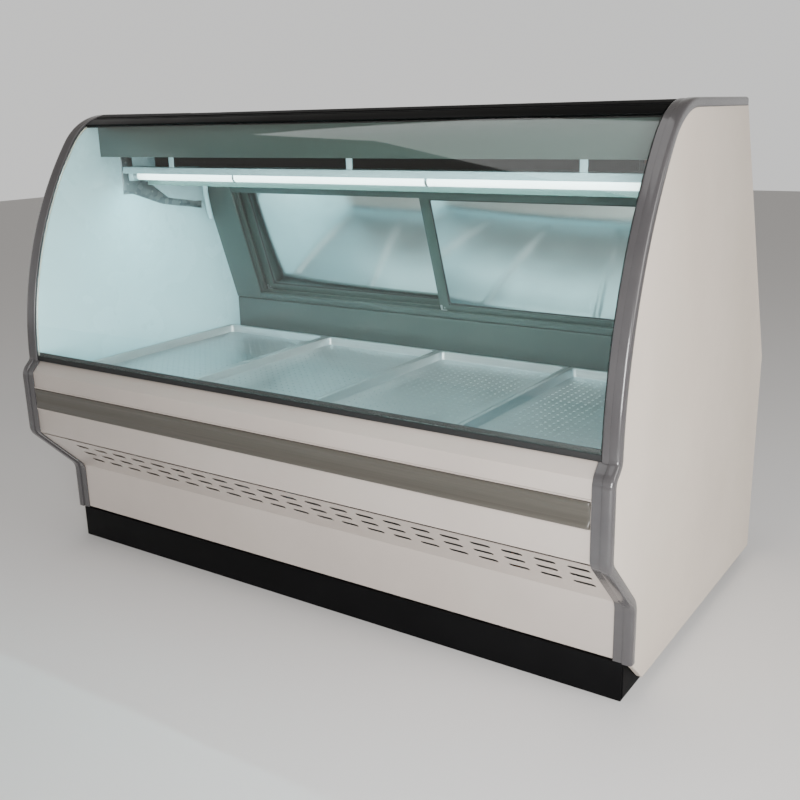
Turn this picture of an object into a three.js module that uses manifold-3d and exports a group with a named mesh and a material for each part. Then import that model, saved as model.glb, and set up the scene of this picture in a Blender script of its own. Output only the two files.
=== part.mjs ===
// Refrigerated deli service case with a curved lift-up front glass, in millimetres, +Z up.
// X runs along the counter, -Y is the customer's side, +Y is the server's side.
// The origin is the middle of the case's footprint, on the floor.
// Inside the nested group, y is measured back from the face of the lower front trim.
import * as THREE from "three";
import { mergeVertices } from "three/addons/utils/BufferGeometryUtils.js";
import Module from "manifold-3d";

const wasm = await Module();
wasm.setup();

// ---- Driving dimensions ----
const WIDTH = 1905;
const DEPTH = 1090;
const HEIGHT = 1330;
const END_THICKNESS = 37.5;
const NOSE_REACH = 148;
const BASE_HEIGHT = 98;
const TRIM_BOTTOM = 100;
const BEND_HEIGHT = 243;
const NOSE_BOTTOM = 394;
const NOSE_TOP = 590;
const GLASS_START_Y = -117;
const GLASS_START_Z = 633;
const KINK_HEIGHT = 620;
const TOP_REAR_Y = 625;
const SHEET = 2;
const TOUCH = 0.4;

const HALF = WIDTH / 2;
const PANEL_OUT = HALF - 2.3;
const PANEL_IN = HALF - END_THICKNESS;
const LINER_IN = PANEL_IN - 3.6;
const BODY_HALF = LINER_IN - TOUCH;
const REAR_Y = DEPTH - NOSE_REACH;
const BASE_HALF = 928;

// ---- Curved front: a long gentle arc, then a tight one that rolls over to the flat top ----
const GENTLE = { from: 2, to: 37, radius: 1092 };
const TIGHT = { from: 37, to: 90 };
const rad = THREE.MathUtils.degToRad;
const gentleCentre = {
  y: GLASS_START_Y + GENTLE.radius * Math.cos(rad(GENTLE.from)),
  z: GLASS_START_Z - GENTLE.radius * Math.sin(rad(GENTLE.from)),
};
const gentleEndZ = gentleCentre.z + GENTLE.radius * Math.sin(rad(GENTLE.to));
TIGHT.radius = (HEIGHT - gentleEndZ) / (1 - Math.sin(rad(GENTLE.to)));
const tightCentre = {
  y: gentleCentre.y + (TIGHT.radius - GENTLE.radius) * Math.cos(rad(GENTLE.to)),
  z: HEIGHT - TIGHT.radius,
};

// A point of the front curve. Angle 0 faces the customer, 90 is the flat top.
function curvePoint(angle, inset) {
  const gentle = angle <= GENTLE.to;
  const centre = gentle ? gentleCentre : tightCentre;
  const radius = (gentle ? GENTLE.radius : TIGHT.radius) - inset;
  return [centre.y - radius * Math.cos(rad(angle)), centre.z + radius * Math.sin(rad(angle))];
}

function curveLine(from, to, inset, step = 4) {
  const angles = [from];
  for (let angle = Math.ceil((from + 0.01) / step) * step; angle < to - 0.01; angle += step) {
    angles.push(angle);
  }
  angles.push(to);
  return angles.map((angle) => curvePoint(angle, inset));
}

// ---- Outlines in the (y, z) plane ----
// Moves an open line to its right by a distance, with mitred corners.
function insetLine(points, distance) {
  const normals = points.slice(1).map(([y, z], i) => {
    const dy = y - points[i][0];
    const dz = z - points[i][1];
    const length = Math.hypot(dy, dz);
    return [dz / length, -dy / length];
  });
  return points.map(([y, z], i) => {
    const before = normals[Math.max(i - 1, 0)];
    const after = normals[Math.min(i, normals.length - 1)];
    const scale = distance / (1 + before[0] * after[0] + before[1] * after[1]);
    return [y + (before[0] + after[0]) * scale, z + (before[1] + after[1]) * scale];
  });
}

// A band between two insets of one line.
function strip(points, near, far) {
  return [...insetLine(points, near), ...insetLine(points, far).reverse()];
}

function curveStrip(from, to, near, far, step) {
  return [...curveLine(from, to, near, step), ...curveLine(from, to, far, step).reverse()];
}

const lowerLine = [
  [0, TRIM_BOTTOM],
  [0, BEND_HEIGHT],
  [-NOSE_REACH, NOSE_BOTTOM],
  [-NOSE_REACH, NOSE_TOP],
  [GLASS_START_Y, GLASS_START_Z - 13],
];
const frontLine = [...lowerLine, ...curveLine(GENTLE.from, TIGHT.to, 0)];

// ---- Solids ----
function shapeOf(outline) {
  return new THREE.Shape(outline.map(([a, b]) => new THREE.Vector2(a, b)));
}

function clean(geometry) {
  const bare = geometry.index ? geometry.toNonIndexed() : geometry.clone();
  bare.deleteAttribute("normal");
  bare.deleteAttribute("uv");
  return mergeVertices(bare, 1e-4);
}

function manifoldOf(geometry) {
  const merged = clean(geometry);
  return new wasm.Manifold(
    new wasm.Mesh({
      numProp: 3,
      vertProperties: new Float32Array(merged.attributes.position.array),
      triVerts: new Uint32Array(merged.index.array),
    }),
  );
}

function geometryOf(manifold) {
  const mesh = manifold.getMesh();
  const geometry = new THREE.BufferGeometry();
  geometry.setAttribute("position", new THREE.BufferAttribute(mesh.vertProperties, 3));
  geometry.setIndex(new THREE.BufferAttribute(mesh.triVerts, 1));
  return geometry;
}

function join(...geometries) {
  return geometryOf(geometries.map(manifoldOf).reduce((sum, next) => sum.add(next)));
}

function cut(base, ...tools) {
  return geometryOf(tools.map(manifoldOf).reduce((rest, tool) => rest.subtract(tool), manifoldOf(base)));
}

function box(x0, x1, y0, y1, z0, z1) {
  const geometry = new THREE.BoxGeometry(x1 - x0, y1 - y0, z1 - z0);
  return geometry.translate((x0 + x1) / 2, (y0 + y1) / 2, (z0 + z1) / 2);
}

// Extrudes a (y, z) outline along X.
function alongX(outline, x0, x1) {
  const geometry = new THREE.ExtrudeGeometry(shapeOf(outline), { depth: x1 - x0, bevelEnabled: false });
  return geometry.applyMatrix4(new THREE.Matrix4().set(0, 0, 1, x0, 1, 0, 0, 0, 0, 1, 0, 0, 0, 0, 0, 1));
}

// A round bar or disc along one axis.
function round(axis, radius, from, to, centre, sides = 16) {
  const geometry = new THREE.CylinderGeometry(radius, radius, to - from, sides);
  const middle = (from + to) / 2;
  if (axis === "x") {
    return geometry.rotateZ(-Math.PI / 2).translate(middle, centre[0], centre[1]);
  }
  if (axis === "y") {
    return geometry.translate(centre[0], middle, centre[1]);
  }
  return geometry.rotateX(Math.PI / 2).translate(centre[0], centre[1], middle);
}

// A turned piece about a vertical axis, from a closed [radius, height] profile.
function turned(profile, sides, x, y) {
  const geometry = new THREE.LatheGeometry(profile.map(([r, h]) => new THREE.Vector2(r, h)), sides);
  return geometry.rotateX(Math.PI / 2).translate(x, y, 0);
}

function tube(points, radius, steps, sides = 8) {
  const ring = [];
  for (let i = 0; i < sides; i += 1) {
    const angle = (i / sides) * 2 * Math.PI;
    ring.push([radius * Math.cos(angle), radius * Math.sin(angle)]);
  }
  const path = new THREE.CatmullRomCurve3(
    points.map((point) => new THREE.Vector3(...point)),
    false,
    "centripetal",
  );
  return new THREE.ExtrudeGeometry(shapeOf(ring), { steps, bevelEnabled: false, extrudePath: path });
}

// ---- Finishes ----
function finish(color, roughness, metalness) {
  return { color, roughness, metalness };
}
const CREAM = finish(0xd6cbbf, 0.45, 0);
const BEIGE = finish(0xcbbfb8, 0.45, 0);
const TRIM_GREY = finish(0x6c6a6b, 0.25, 0);
const OLIVE_GREY = finish(0x5d594f, 0.4, 0);
const BLACK = finish(0x0c0c0d, 0.5, 0);
const WHITE = finish(0xe6f0f0, 0.35, 0);
const GREY_GREEN = finish(0x66766f, 0.4, 0);
const STEEL = finish(0xb7bbbd, 0.3, 1);
const ZINC = finish(0x9da2a5, 0.45, 1);
const COPPER = finish(0xb87347, 0.35, 1);
const RUBBER = finish(0x121314, 0.7, 0);

const root = new THREE.Group();
const deliCase = new THREE.Group();
deliCase.position.y = NOSE_REACH - DEPTH / 2;
root.add(deliCase);

function piece(name, geometry, look, parent = deliCase) {
  const material = new THREE.MeshStandardMaterial(look);
  const mesh = new THREE.Mesh(geometry, material);
  mesh.name = name;
  parent.add(mesh);
  return mesh;
}

// Makes the left and right versions of one piece. The maker gets -1 or +1.
function bothSides(name, maker, look, parent) {
  piece(`${name}_left`, maker(-1), look, parent);
  piece(`${name}_right`, maker(1), look, parent);
}

function span(side, near, far) {
  return side > 0 ? [near, far] : [-far, -near];
}

// ---- Base ----
function addBase() {
  const railWidth = 42;
  const frontY = 16;
  const rearY = REAR_Y - 14;
  const outer = box(-BASE_HALF, BASE_HALF, frontY, rearY, 0, BASE_HEIGHT);
  const bay = (BASE_HALF * 2 - railWidth * 4) / 3;
  const holes = [0, 1, 2].map((i) => {
    const x = -BASE_HALF + railWidth + i * (bay + railWidth);
    return box(x, x + bay, frontY + railWidth, rearY - railWidth, -10, BASE_HEIGHT + 10);
  });
  piece("base_frame", cut(outer, ...holes), BLACK);
  const kick = [[4, 0.5], [4, BASE_HEIGHT], [15.5, BASE_HEIGHT], [15.5, 95], [7, 95], [7, 3.5], [15.5, 3.5], [15.5, 0.5]];
  piece("kick_plate", alongX(kick, -BASE_HALF, BASE_HALF), BLACK);
  piece("machine_deck", box(-905, 905, 20, REAR_Y - 22, BASE_HEIGHT + 0.4, BASE_HEIGHT + 2.4), ZINC);
}

// ---- Ends ----
function rearLinePoint(rise, inset) {
  const dy = TOP_REAR_Y - REAR_Y;
  const dz = HEIGHT - KINK_HEIGHT;
  const length = Math.hypot(dy, dz);
  return [
    REAR_Y + (rise * dy) / length - (inset * dz) / length,
    KINK_HEIGHT + (rise * dz) / length + (inset * dy) / length,
  ];
}

function endOutline(inset, rearInset, footZ) {
  const front = insetLine([...frontLine, [TOP_REAR_Y, HEIGHT]], inset);
  front.pop();
  const slopeRun = (TOP_REAR_Y - REAR_Y) / (HEIGHT - KINK_HEIGHT);
  const topZ = HEIGHT - inset;
  const rearBottomY = REAR_Y - rearInset;
  return [
    ...front,
    [rearBottomY + slopeRun * (topZ - KINK_HEIGHT), topZ],
    [rearBottomY, KINK_HEIGHT],
    [rearBottomY, footZ],
  ];
}

function endPanel(side) {
  const foot = 32;
  const outline = [...endOutline(7.9, 0, foot), [80, foot], [14, 94]];
  const slab = alongX(outline, ...span(side, PANEL_IN, PANEL_OUT));
  const baseRelief = box(...span(side, PANEL_IN - 5, 935), -50, REAR_Y + 20, 0, TRIM_BOTTOM + 2);
  return cut(slab, baseRelief);
}

function endLiner(side) {
  const upper = insetLine(frontLine, 17).slice(5);
  const slopeRun = (TOP_REAR_Y - REAR_Y) / (HEIGHT - KINK_HEIGHT);
  const topZ = HEIGHT - 17;
  const outline = [
    [-112, 402],
    [-112, 598],
    ...upper,
    [REAR_Y - 26 + slopeRun * (topZ - KINK_HEIGHT), topZ],
    [REAR_Y - 26, KINK_HEIGHT],
    [REAR_Y - 26, 402],
  ];
  return alongX(outline, ...span(side, LINER_IN, LINER_IN + 3.2));
}

// Glossy moulding: a face band, a lip that laps the front panels and a flange down the outside.
function endTrim(side) {
  const line = [...frontLine, [TOP_REAR_Y - 2, HEIGHT]];
  const face = alongX(strip(line, 0, 7.5), ...span(side, 929, HALF));
  const flange = alongX(strip(line, 0, 21), ...span(side, HALF - 2, HALF));
  const lip = alongX(strip(lowerLine, 4, 7.5), ...span(side, 905, 930));
  return join(face, flange, lip);
}

function addEnds() {
  bothSides("end_panel", endPanel, CREAM);
  bothSides("end_liner", endLiner, WHITE);
  bothSides("end_trim", endTrim, TRIM_GREY);
}

// ---- Front panels ----
function intakeSlots() {
  const pitch = 81;
  const length = 54;
  const height = 16;
  const count = 21;
  const firstX = -770;
  const rows = [
    { rise: 166, shift: -11 },
    { rise: 122, shift: -19 },
    { rise: 78, shift: -23 },
  ];
  const tilt = Math.atan2(NOSE_BOTTOM - BEND_HEIGHT, NOSE_REACH);
  const tools = [];
  rows.forEach(({ rise, shift }) => {
    for (let i = 0; i < count; i += 1) {
      const tool = new THREE.BoxGeometry(length, height, 14);
      tool.rotateX(-tilt);
      const y = 5.7 - rise * Math.cos(tilt);
      const z = BEND_HEIGHT + 5.6 + rise * Math.sin(tilt);
      tools.push(tool.translate(firstX + shift + length / 2 + i * pitch, y, z));
    }
  });
  return tools;
}

function addFront() {
  const intakeLine = [[0, TRIM_BOTTOM + 3], [0, BEND_HEIGHT], [-NOSE_REACH + 5, NOSE_BOTTOM - 5.1]];
  const sheet = alongX(strip(intakeLine, 8, 10), -BODY_HALF, BODY_HALF);
  const foot = box(-BODY_HALF, BODY_HALF, 9, 30, TRIM_BOTTOM + 3, TRIM_BOTTOM + 5);
  piece("front_intake_panel", cut(join(sheet, foot), ...intakeSlots()), BEIGE);

  const noseLine = [
    [-110, NOSE_BOTTOM + 3.5],
    [-140, NOSE_BOTTOM + 3.5],
    [-140, NOSE_TOP - 4],
    [-109.5, GLASS_START_Z - 17.5],
    [-97, GLASS_START_Z - 17.5],
  ];
  piece("nose_panel", alongX(strip(noseLine, 0, SHEET), -BODY_HALF, BODY_HALF), BEIGE);

  const bumper = [
    [-140.5, 476], [-144.5, 476], [-147.6, 480], [-147.6, 486], [-145, 491],
    [-144.2, 507], [-145, 523], [-147.6, 528], [-147.6, 534], [-144.5, 538], [-140.5, 538],
  ];
  piece("bumper_rail", alongX(bumper, -903, 903), OLIVE_GREY);

  const sill = [[-113, 617], [-113, 631.8], [-103.5, 631.8], [-103.5, 641], [-99, 641], [-99, 617]];
  piece("glass_sill_gasket", alongX(sill, -BODY_HALF, BODY_HALF), RUBBER);
}

// ---- Lift-up front glass and its hinge ----
const GLASS_TOP_ANGLE = 62;
const HINGE_ANGLE = 71;
const hinge = curvePoint(HINGE_ANGLE, 8);

function addFrontGlass() {
  const pane = curveStrip(GENTLE.from, GLASS_TOP_ANGLE, 5, 11);
  const glass = piece("front_glass", alongX(pane, -909.5, 909.5), finish(0xcfe3dc, 0.05, 0));
  glass.material.transparent = true;
  glass.material.opacity = 0.3;

  const clampBody = alongX(curveStrip(58.5, 68.5, 1.5, 15.5, 2), -909.5, 909.5);
  const web = alongX(curveStrip(68, HINGE_ANGLE, 5, 11, 3), -909.5, 909.5);
  const knuckle = round("x", 6, -909.5, 909.5, hinge, 12);
  const seat = alongX(curveStrip(57, GLASS_TOP_ANGLE + 0.2, 4.6, 11.4, 2), -920, 920);
  piece("glass_hinge_channel", cut(join(clampBody, web, knuckle), seat), BLACK);

  piece("hinge_rail", alongX(curveStrip(73.6, 84, 2, 16, 3), -BODY_HALF, BODY_HALF), BLACK);
}

// ---- Canopy, visor and lamp ----
const CANOPY_BOTTOM = HEIGHT - 28;

function addCanopy() {
  const roof = [
    ...curveLine(84.4, 90, 3, 2),
    [TOP_REAR_Y - 3, HEIGHT - 3],
    [TOP_REAR_Y + 6, CANOPY_BOTTOM],
    [251, CANOPY_BOTTOM],
  ];
  piece("canopy_top", alongX(roof, -BODY_HALF, BODY_HALF), BLACK);

  const rearTop = rearLinePoint(0, 4)[0];
  const slopeRun = (TOP_REAR_Y - REAR_Y) / (HEIGHT - KINK_HEIGHT);
  const outerAt = (z) => rearTop + slopeRun * (z - KINK_HEIGHT);
  const thickness = 81;
  const topZ = CANOPY_BOTTOM - 3;
  const bottomZ = 1131;
  const header = [
    [outerAt(topZ), topZ],
    [outerAt(bottomZ), bottomZ],
    [outerAt(bottomZ) - thickness, bottomZ],
    [outerAt(topZ) - thickness, topZ],
  ];
  piece("rear_header", alongX(header, -BODY_HALF, BODY_HALF), GREY_GREEN);

  const visorTop = CANOPY_BOTTOM - 11;
  const visorLine = [[224, 1211], [224, 1201], [206, 1201], [206, visorTop], [256, visorTop]];
  piece("visor_panel", alongX(strip(visorLine, 0, SHEET), -BODY_HALF, BODY_HALF), GREY_GREEN);
}

const LAMP_Y = 287;
const LAMP_Z = 1141;
const LAMP_HALF = 850;

function addLamp() {
  const troughLine = [[LAMP_Y - 33, 1149], [LAMP_Y - 29, 1168], [LAMP_Y + 31, 1168], [LAMP_Y + 35, 1149]];
  const trough = alongX(strip(troughLine, 0, SHEET), -872, 872);
  const hangers = [-660, 15, 690].map((x) => box(x - 10, x + 10, LAMP_Y - 25, LAMP_Y - 22, 1167, CANOPY_BOTTOM - 1));
  piece("lamp_housing", join(trough, ...hangers), WHITE);
  const tubeRadius = 13;
  piece("lamp_tube", round("x", tubeRadius, -LAMP_HALF, LAMP_HALF, [LAMP_Y, LAMP_Z], 16), finish(0xffffff, 0.3, 0));
  bothSides("lamp_holder", (side) => {
    const [x0, x1] = span(side, LAMP_HALF + 0.4, LAMP_HALF + 17);
    return box(x0, x1, LAMP_Y - 15, LAMP_Y + 15, LAMP_Z - 16, 1165.5);
  }, WHITE);
}

// ---- Overhead cooling coil ----
function addCoil() {
  const half = 800;
  const core = box(-half, half, 332, 546, 1168, 1262);
  const endPlates = [-half, half - 3].map((x) => box(x, x + 3, 326, 550, 1160, CANOPY_BOTTOM - 1));
  piece("cooling_coil", join(core, ...endPlates), finish(0x39423f, 0.5, 0.6));

  const trayLine = [[598, 1150], [598, 1104], [326, 1110], [326, 1140]];
  const tray = strip(trayLine, 0, SHEET);
  const trayEnd = [[599, 1150], [599, 1103], [325, 1109], [325, 1140]];
  const caps = [-840, 838].map((x) => alongX(trayEnd, x, x + SHEET));
  piece("drip_pan", join(alongX(tray, -838.5, 838.5), ...caps), GREY_GREEN);

  bothSides("coil_bracket", (side) => {
    const plate = [
      [282, 1081], [282, CANOPY_BOTTOM - 1], [322, CANOPY_BOTTOM - 1], [328, 1135], [389, 1112],
      [470, 1056], [600, 1034], [622, 1034], [622, 1008], [440, 1038], [318, 1081],
    ];
    return alongX(plate, ...span(side, BODY_HALF - 5, BODY_HALF - 0.2));
  }, WHITE);

  const drain = [[-820, 560, 1102.4], [-824, 562, 1080], [-848, 590, 1040], [-872, 622, 1000], [-884, 640, 975]];
  piece("coil_drain_tube", tube(drain, 9, 12), WHITE);
}

// ---- Insulated tank and display deck ----
const DECK_TOP = 575;
const LINES = { suction: { x: 882, y: 747, r: 8 }, liquid: { x: 856, y: 747, r: 5 } };
const DRAIN = { x: -360, y: 380 };

function addTank() {
  const ledge = DECK_TOP - 30.5;
  const section = [
    [-125, 405], [850, 405], [850, 691], [778, 668], [778, ledge], [712, ledge], [712, 455],
    [-66, 455], [-66, ledge], [-88, ledge], [-88, 612], [-107, 612], [-125, 594],
  ];
  const holes = [LINES.suction, LINES.liquid].map(({ x, y, r }) => round("z", r + 5, 395, 560, [x, y], 12));
  const drainHole = round("z", 22, 395, 465, [DRAIN.x, DRAIN.y], 16);
  const shell = alongX(section.reverse(), -BODY_HALF + 0.5, BODY_HALF - 0.5);
  piece("insulated_tank", cut(shell, ...holes, drainHole), WHITE);

  const panCount = 4;
  const gap = 3;
  const panWidth = (2 * (BODY_HALF - 4) - gap * (panCount - 1)) / panCount;
  for (let i = 0; i < panCount; i += 1) {
    const x = -(BODY_HALF - 4) + i * (panWidth + gap);
    const body = box(x, x + panWidth, -85, 730, DECK_TOP - 30, DECK_TOP);
    const well = box(x + 14, x + panWidth - 14, -71, 716, DECK_TOP - 28, DECK_TOP + 10);
    const under = [
      box(x - 5, x + 12, -100, 740, DECK_TOP - 40, DECK_TOP - 2),
      box(x + panWidth - 12, x + panWidth + 5, -100, 740, DECK_TOP - 40, DECK_TOP - 2),
    ];
    const fingerHoles = [60, 600].map((y) => round("z", 14, DECK_TOP - 40, DECK_TOP, [x + panWidth / 2, y], 12));
    piece(`deck_pan_${i + 1}`, cut(body, well, ...under, ...fingerHoles), STEEL);
  }
}

// ---- Rear doors, in a frame that leans towards the customer ----
const LEAN = 18;
const FRAME_DEPTH = 75;
const OPENING_HALF = 790;
const DOOR_WIDTH = 815;
const DOOR = { bottom: 14, top: 428, stile: 34, rail: 27, thickness: 16 };

function addRearFrame() {
  const frame = new THREE.Group();
  frame.position.set(0, 775, 672);
  frame.rotation.x = rad(LEAN);
  deliCase.add(frame);

  bothSides("door_jamb", (side) => {
    const [x0, x1] = span(side, OPENING_HALF, BODY_HALF);
    const grooves = [10, 38].map((y) => {
      const [g0, g1] = span(side, OPENING_HALF - 10, OPENING_HALF + 9);
      return box(g0, g1, y, y + 20, -10, 470);
    });
    return cut(box(x0, x1, 0, FRAME_DEPTH, 0, 455), ...grooves);
  }, GREY_GREEN, frame);

  const inner = OPENING_HALF - 0.4;
  const track = (z0, z1, g0, g1) => cut(
    box(-inner, inner, 0, FRAME_DEPTH, z0, z1),
    ...[10, 38].map((y) => box(-inner - 10, inner + 10, y, y + 20, g0, g1)),
  );
  piece("door_sill_track", track(0, 22, 12, 40), GREY_GREEN, frame);
  piece("door_head_track", track(410, 455, 400, 434), GREY_GREEN, frame);

  const doors = [
    { side: "left", x: -OPENING_HALF + 1, y: 40, pullX: 18 },
    { side: "right", x: OPENING_HALF - 1 - DOOR_WIDTH, y: 12, pullX: DOOR_WIDTH - 30 },
  ];
  doors.forEach(({ side, x, y, pullX }) => {
    const { bottom, top, stile, rail, thickness } = DOOR;
    const slab = box(x, x + DOOR_WIDTH, y, y + thickness, bottom, top);
    const light = box(x + stile, x + DOOR_WIDTH - stile, y - 5, y + thickness + 5, bottom + rail, top - rail);
    const lip = 6;
    const rebate = box(
      x + stile - lip, x + DOOR_WIDTH - stile + lip, y + 4, y + thickness - 4, bottom + rail - lip, top - rail + lip,
    );
    piece(`door_frame_${side}`, cut(slab, light, rebate), GREY_GREEN, frame);
    const pane = box(
      x + stile - lip + 0.5, x + DOOR_WIDTH - stile + lip - 0.5, y + 4.5, y + thickness - 4.5,
      bottom + rail - lip + 0.5, top - rail + lip - 0.5,
    );
    piece(`door_mirror_${side}`, pane, finish(0xa9b4b6, 0.05, 1), frame);
    const pull = box(x + pullX, x + pullX + 12, y + thickness + 0.4, y + thickness + 7.5, 150, 260);
    piece(`door_pull_${side}`, pull, STEEL, frame);
  });
}

// ---- Rear skin and controls ----
const APRON_Y = REAR_Y - 17;
const SWITCH = { x: 711, z: 555 };
const KNOB = { x: 790, z: 555 };

function addRearSkin() {
  const apronLine = [[853, 690], [853, 642], [APRON_Y, 642], [APRON_Y, 404]];
  const apron = alongX(strip(apronLine, 0, SHEET).reverse(), -BODY_HALF, BODY_HALF);
  const rockerHole = box(SWITCH.x - 13, SWITCH.x + 13, APRON_Y - 20, APRON_Y + 20, SWITCH.z - 18, SWITCH.z + 18);
  piece("rear_apron", cut(apron, rockerHole), BEIGE);

  const louvres = [];
  for (let column = 0; column < 3; column += 1) {
    for (let row = 0; row < 8; row += 1) {
      const x = -330 + column * 230;
      const z = 160 + row * 26;
      louvres.push(box(x, x + 200, APRON_Y - 20, APRON_Y + 20, z, z + 8));
    }
  }
  const access = box(-BODY_HALF, BODY_HALF, APRON_Y - 2, APRON_Y, 106, 400);
  piece("rear_access_panel", cut(access, ...louvres), BEIGE);

  const rocker = [
    [APRON_Y - 10, -7], [APRON_Y - 10, 7], [APRON_Y - 1, 15], [APRON_Y + 7, 13], [APRON_Y + 3, 0], [APRON_Y + 4, -14],
    [APRON_Y - 1, -15],
  ].map(([y, z]) => [y, z + SWITCH.z]);
  piece("light_switch", alongX(rocker.reverse(), SWITCH.x - 11, SWITCH.x + 11), BLACK);

  const dial = round("y", 17, APRON_Y + 0.5, APRON_Y + 9, [KNOB.x, KNOB.z], 24);
  const grip = box(KNOB.x - 4, KNOB.x + 4, APRON_Y + 8, APRON_Y + 16, KNOB.z - 15, KNOB.z + 15);
  piece("temperature_knob", join(dial, grip), BLACK);

  const glandBody = round("y", 14, APRON_Y + 0.5, APRON_Y + 15, [-820, 150], 12);
  const bore = round("y", 6, APRON_Y - 5, APRON_Y + 20, [-820, 150], 12);
  piece("power_gland", cut(glandBody, bore), BLACK);
}

// ---- Condensing unit under the tank ----
const FAN = { x: 370, z: 242, y: 137 };

function addCondensingUnit() {
  const floor = BASE_HEIGHT + 2.8;
  const tray = box(90, 660, 44, 600, floor, floor + 14);
  piece("unit_tray", cut(tray, box(93, 657, 47, 597, floor + 3, floor + 30)), ZINC);

  const coilBottom = floor + 15;
  piece("condenser_coil", box(130, 610, 58, 104, coilBottom, coilBottom + 255), finish(0x8a8f90, 0.5, 0.8));

  const plate = box(130, 610, 105, 108, coilBottom, coilBottom + 255);
  const collar = round("y", 122, 105, 128, [FAN.x, FAN.z], 24);
  const throat = round("y", 116, 90, 140, [FAN.x, FAN.z], 24);
  piece("fan_shroud", cut(join(plate, collar), throat), BLACK);

  const hub = round("y", 24, FAN.y - 12, FAN.y + 12, [FAN.x, FAN.z], 16);
  const blades = [0, 1, 2, 3].map((i) => {
    const blade = new THREE.BoxGeometry(58, 3, 88);
    blade.rotateZ(rad(24)).translate(0, 0, 60);
    return blade.rotateY((i * Math.PI) / 2).translate(FAN.x, FAN.y, FAN.z);
  });
  piece("fan_blade", join(hub, ...blades), ZINC);

  const can = round("y", 40, FAN.y + 14, FAN.y + 88, [FAN.x, FAN.z], 20);
  const post = box(FAN.x - 14, FAN.x + 14, FAN.y + 30, FAN.y + 70, floor + 3.4, FAN.z);
  piece("fan_motor", join(can, post), BLACK);

  const bottom = floor + 3.4;
  const shell = [
    [0, bottom], [104, bottom], [104, bottom + 12], [92, bottom + 16], [96, bottom + 40], [98, bottom + 110],
    [94, bottom + 165], [76, bottom + 198], [40, bottom + 214], [0, bottom + 218],
  ];
  piece("compressor", turned(shell, 24, FAN.x, 420), BLACK);

  const control = box(-870, -690, 640, 840, floor, floor + 210);
  piece("electrical_box", cut(control, box(-867, -693, 643, 860, floor + 3, floor + 207)), ZINC);

  const pan = box(-560, -160, 200, 560, floor, floor + 48);
  piece("condensate_pan", cut(pan, box(-557, -163, 203, 557, floor + 3, floor + 60)), STEEL);

  const pipe = [
    [16, 456 + 3], [30, 456 + 3], [30, 455.4], [20, 455.4], [20, floor + 20], [16, floor + 20], [16, 456 + 3],
  ];
  piece("tank_drain", turned(pipe.reverse(), 16, DRAIN.x, DRAIN.y), WHITE);
}

function addRefrigerantLines() {
  const tilt = Math.tan(rad(LEAN));
  const riser = ({ x, y, r }, endY, endZ) => [
    [x, y, 640],
    [x, y - (1080 - 672) * tilt - 8, 1080],
    [x - 4, endY + 30, endZ - 25],
    [x - 30, endY, endZ],
    [801 + r, endY, endZ],
  ];
  const suction = [[484, 420, 262], [560, 420, 262], [800, 600, 262], [882, 735, 300], [882, 747, 400], [882, 747, 500]];
  piece("suction_line", tube([...suction, ...riser(LINES.suction, 530, 1215)], LINES.suction.r, 44), COPPER);
  const liquid = [[618, 84, 140], [700, 90, 140], [830, 300, 150], [856, 700, 200], [856, 747, 400], [856, 747, 500]];
  piece("liquid_line", tube([...liquid, ...riser(LINES.liquid, 485, 1190)], LINES.liquid.r, 44), COPPER);
}

addBase();
addEnds();
addFront();
addFrontGlass();
addCanopy();
addLamp();
addCoil();
addTank();
addRearFrame();
addRearSkin();
addCondensingUnit();
addRefrigerantLines();

export default root;
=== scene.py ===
# %% [markdown]
# # A refrigerated deli case with a curved lift-up glass
# The case stands on a black base. Two end panels carry everything: front panels, an insulated tank, a cooling coil
# under the roof, a lamp, a curved glass and two sliding mirror doors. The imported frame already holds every
# mechanical piece in its place, so this lesson gives each one its true surface and adds the fine work around it.

# %% Load the frame
import math

import bmesh
import bpy
from mathutils import Matrix, Vector


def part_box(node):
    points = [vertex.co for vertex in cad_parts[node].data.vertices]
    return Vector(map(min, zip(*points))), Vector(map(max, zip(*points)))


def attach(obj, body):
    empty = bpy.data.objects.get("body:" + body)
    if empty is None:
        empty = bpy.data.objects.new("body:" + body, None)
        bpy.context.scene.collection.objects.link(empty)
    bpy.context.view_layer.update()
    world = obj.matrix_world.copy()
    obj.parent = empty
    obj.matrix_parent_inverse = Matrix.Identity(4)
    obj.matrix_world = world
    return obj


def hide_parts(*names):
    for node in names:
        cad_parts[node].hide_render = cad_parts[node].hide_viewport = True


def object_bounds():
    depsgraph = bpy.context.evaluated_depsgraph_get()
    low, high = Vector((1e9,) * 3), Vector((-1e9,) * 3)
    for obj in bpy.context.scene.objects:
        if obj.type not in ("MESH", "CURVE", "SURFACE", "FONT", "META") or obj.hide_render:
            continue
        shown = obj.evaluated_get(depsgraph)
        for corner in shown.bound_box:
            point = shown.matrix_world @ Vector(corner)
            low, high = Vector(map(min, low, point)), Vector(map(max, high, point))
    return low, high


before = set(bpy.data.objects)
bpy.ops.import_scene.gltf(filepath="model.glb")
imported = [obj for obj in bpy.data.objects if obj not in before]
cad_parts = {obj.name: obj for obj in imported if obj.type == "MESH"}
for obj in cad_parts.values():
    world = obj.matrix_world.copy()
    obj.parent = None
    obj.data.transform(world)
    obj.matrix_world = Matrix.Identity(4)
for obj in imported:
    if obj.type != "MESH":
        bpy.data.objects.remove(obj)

cad_box = [list(corner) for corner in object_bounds()]
print("nodes", len(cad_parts), "box", cad_box)

# %% [markdown]
# ## Measures
# The front of the case is one outline seen from the side: a kick-back at the bottom, a nose that sticks out, and a
# long gentle arc that tightens and rolls into the flat roof. Heights are from the floor. Depths are taken back from
# the face of the lower trim, which is easier to think in than the frame's own middle line.

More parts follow.
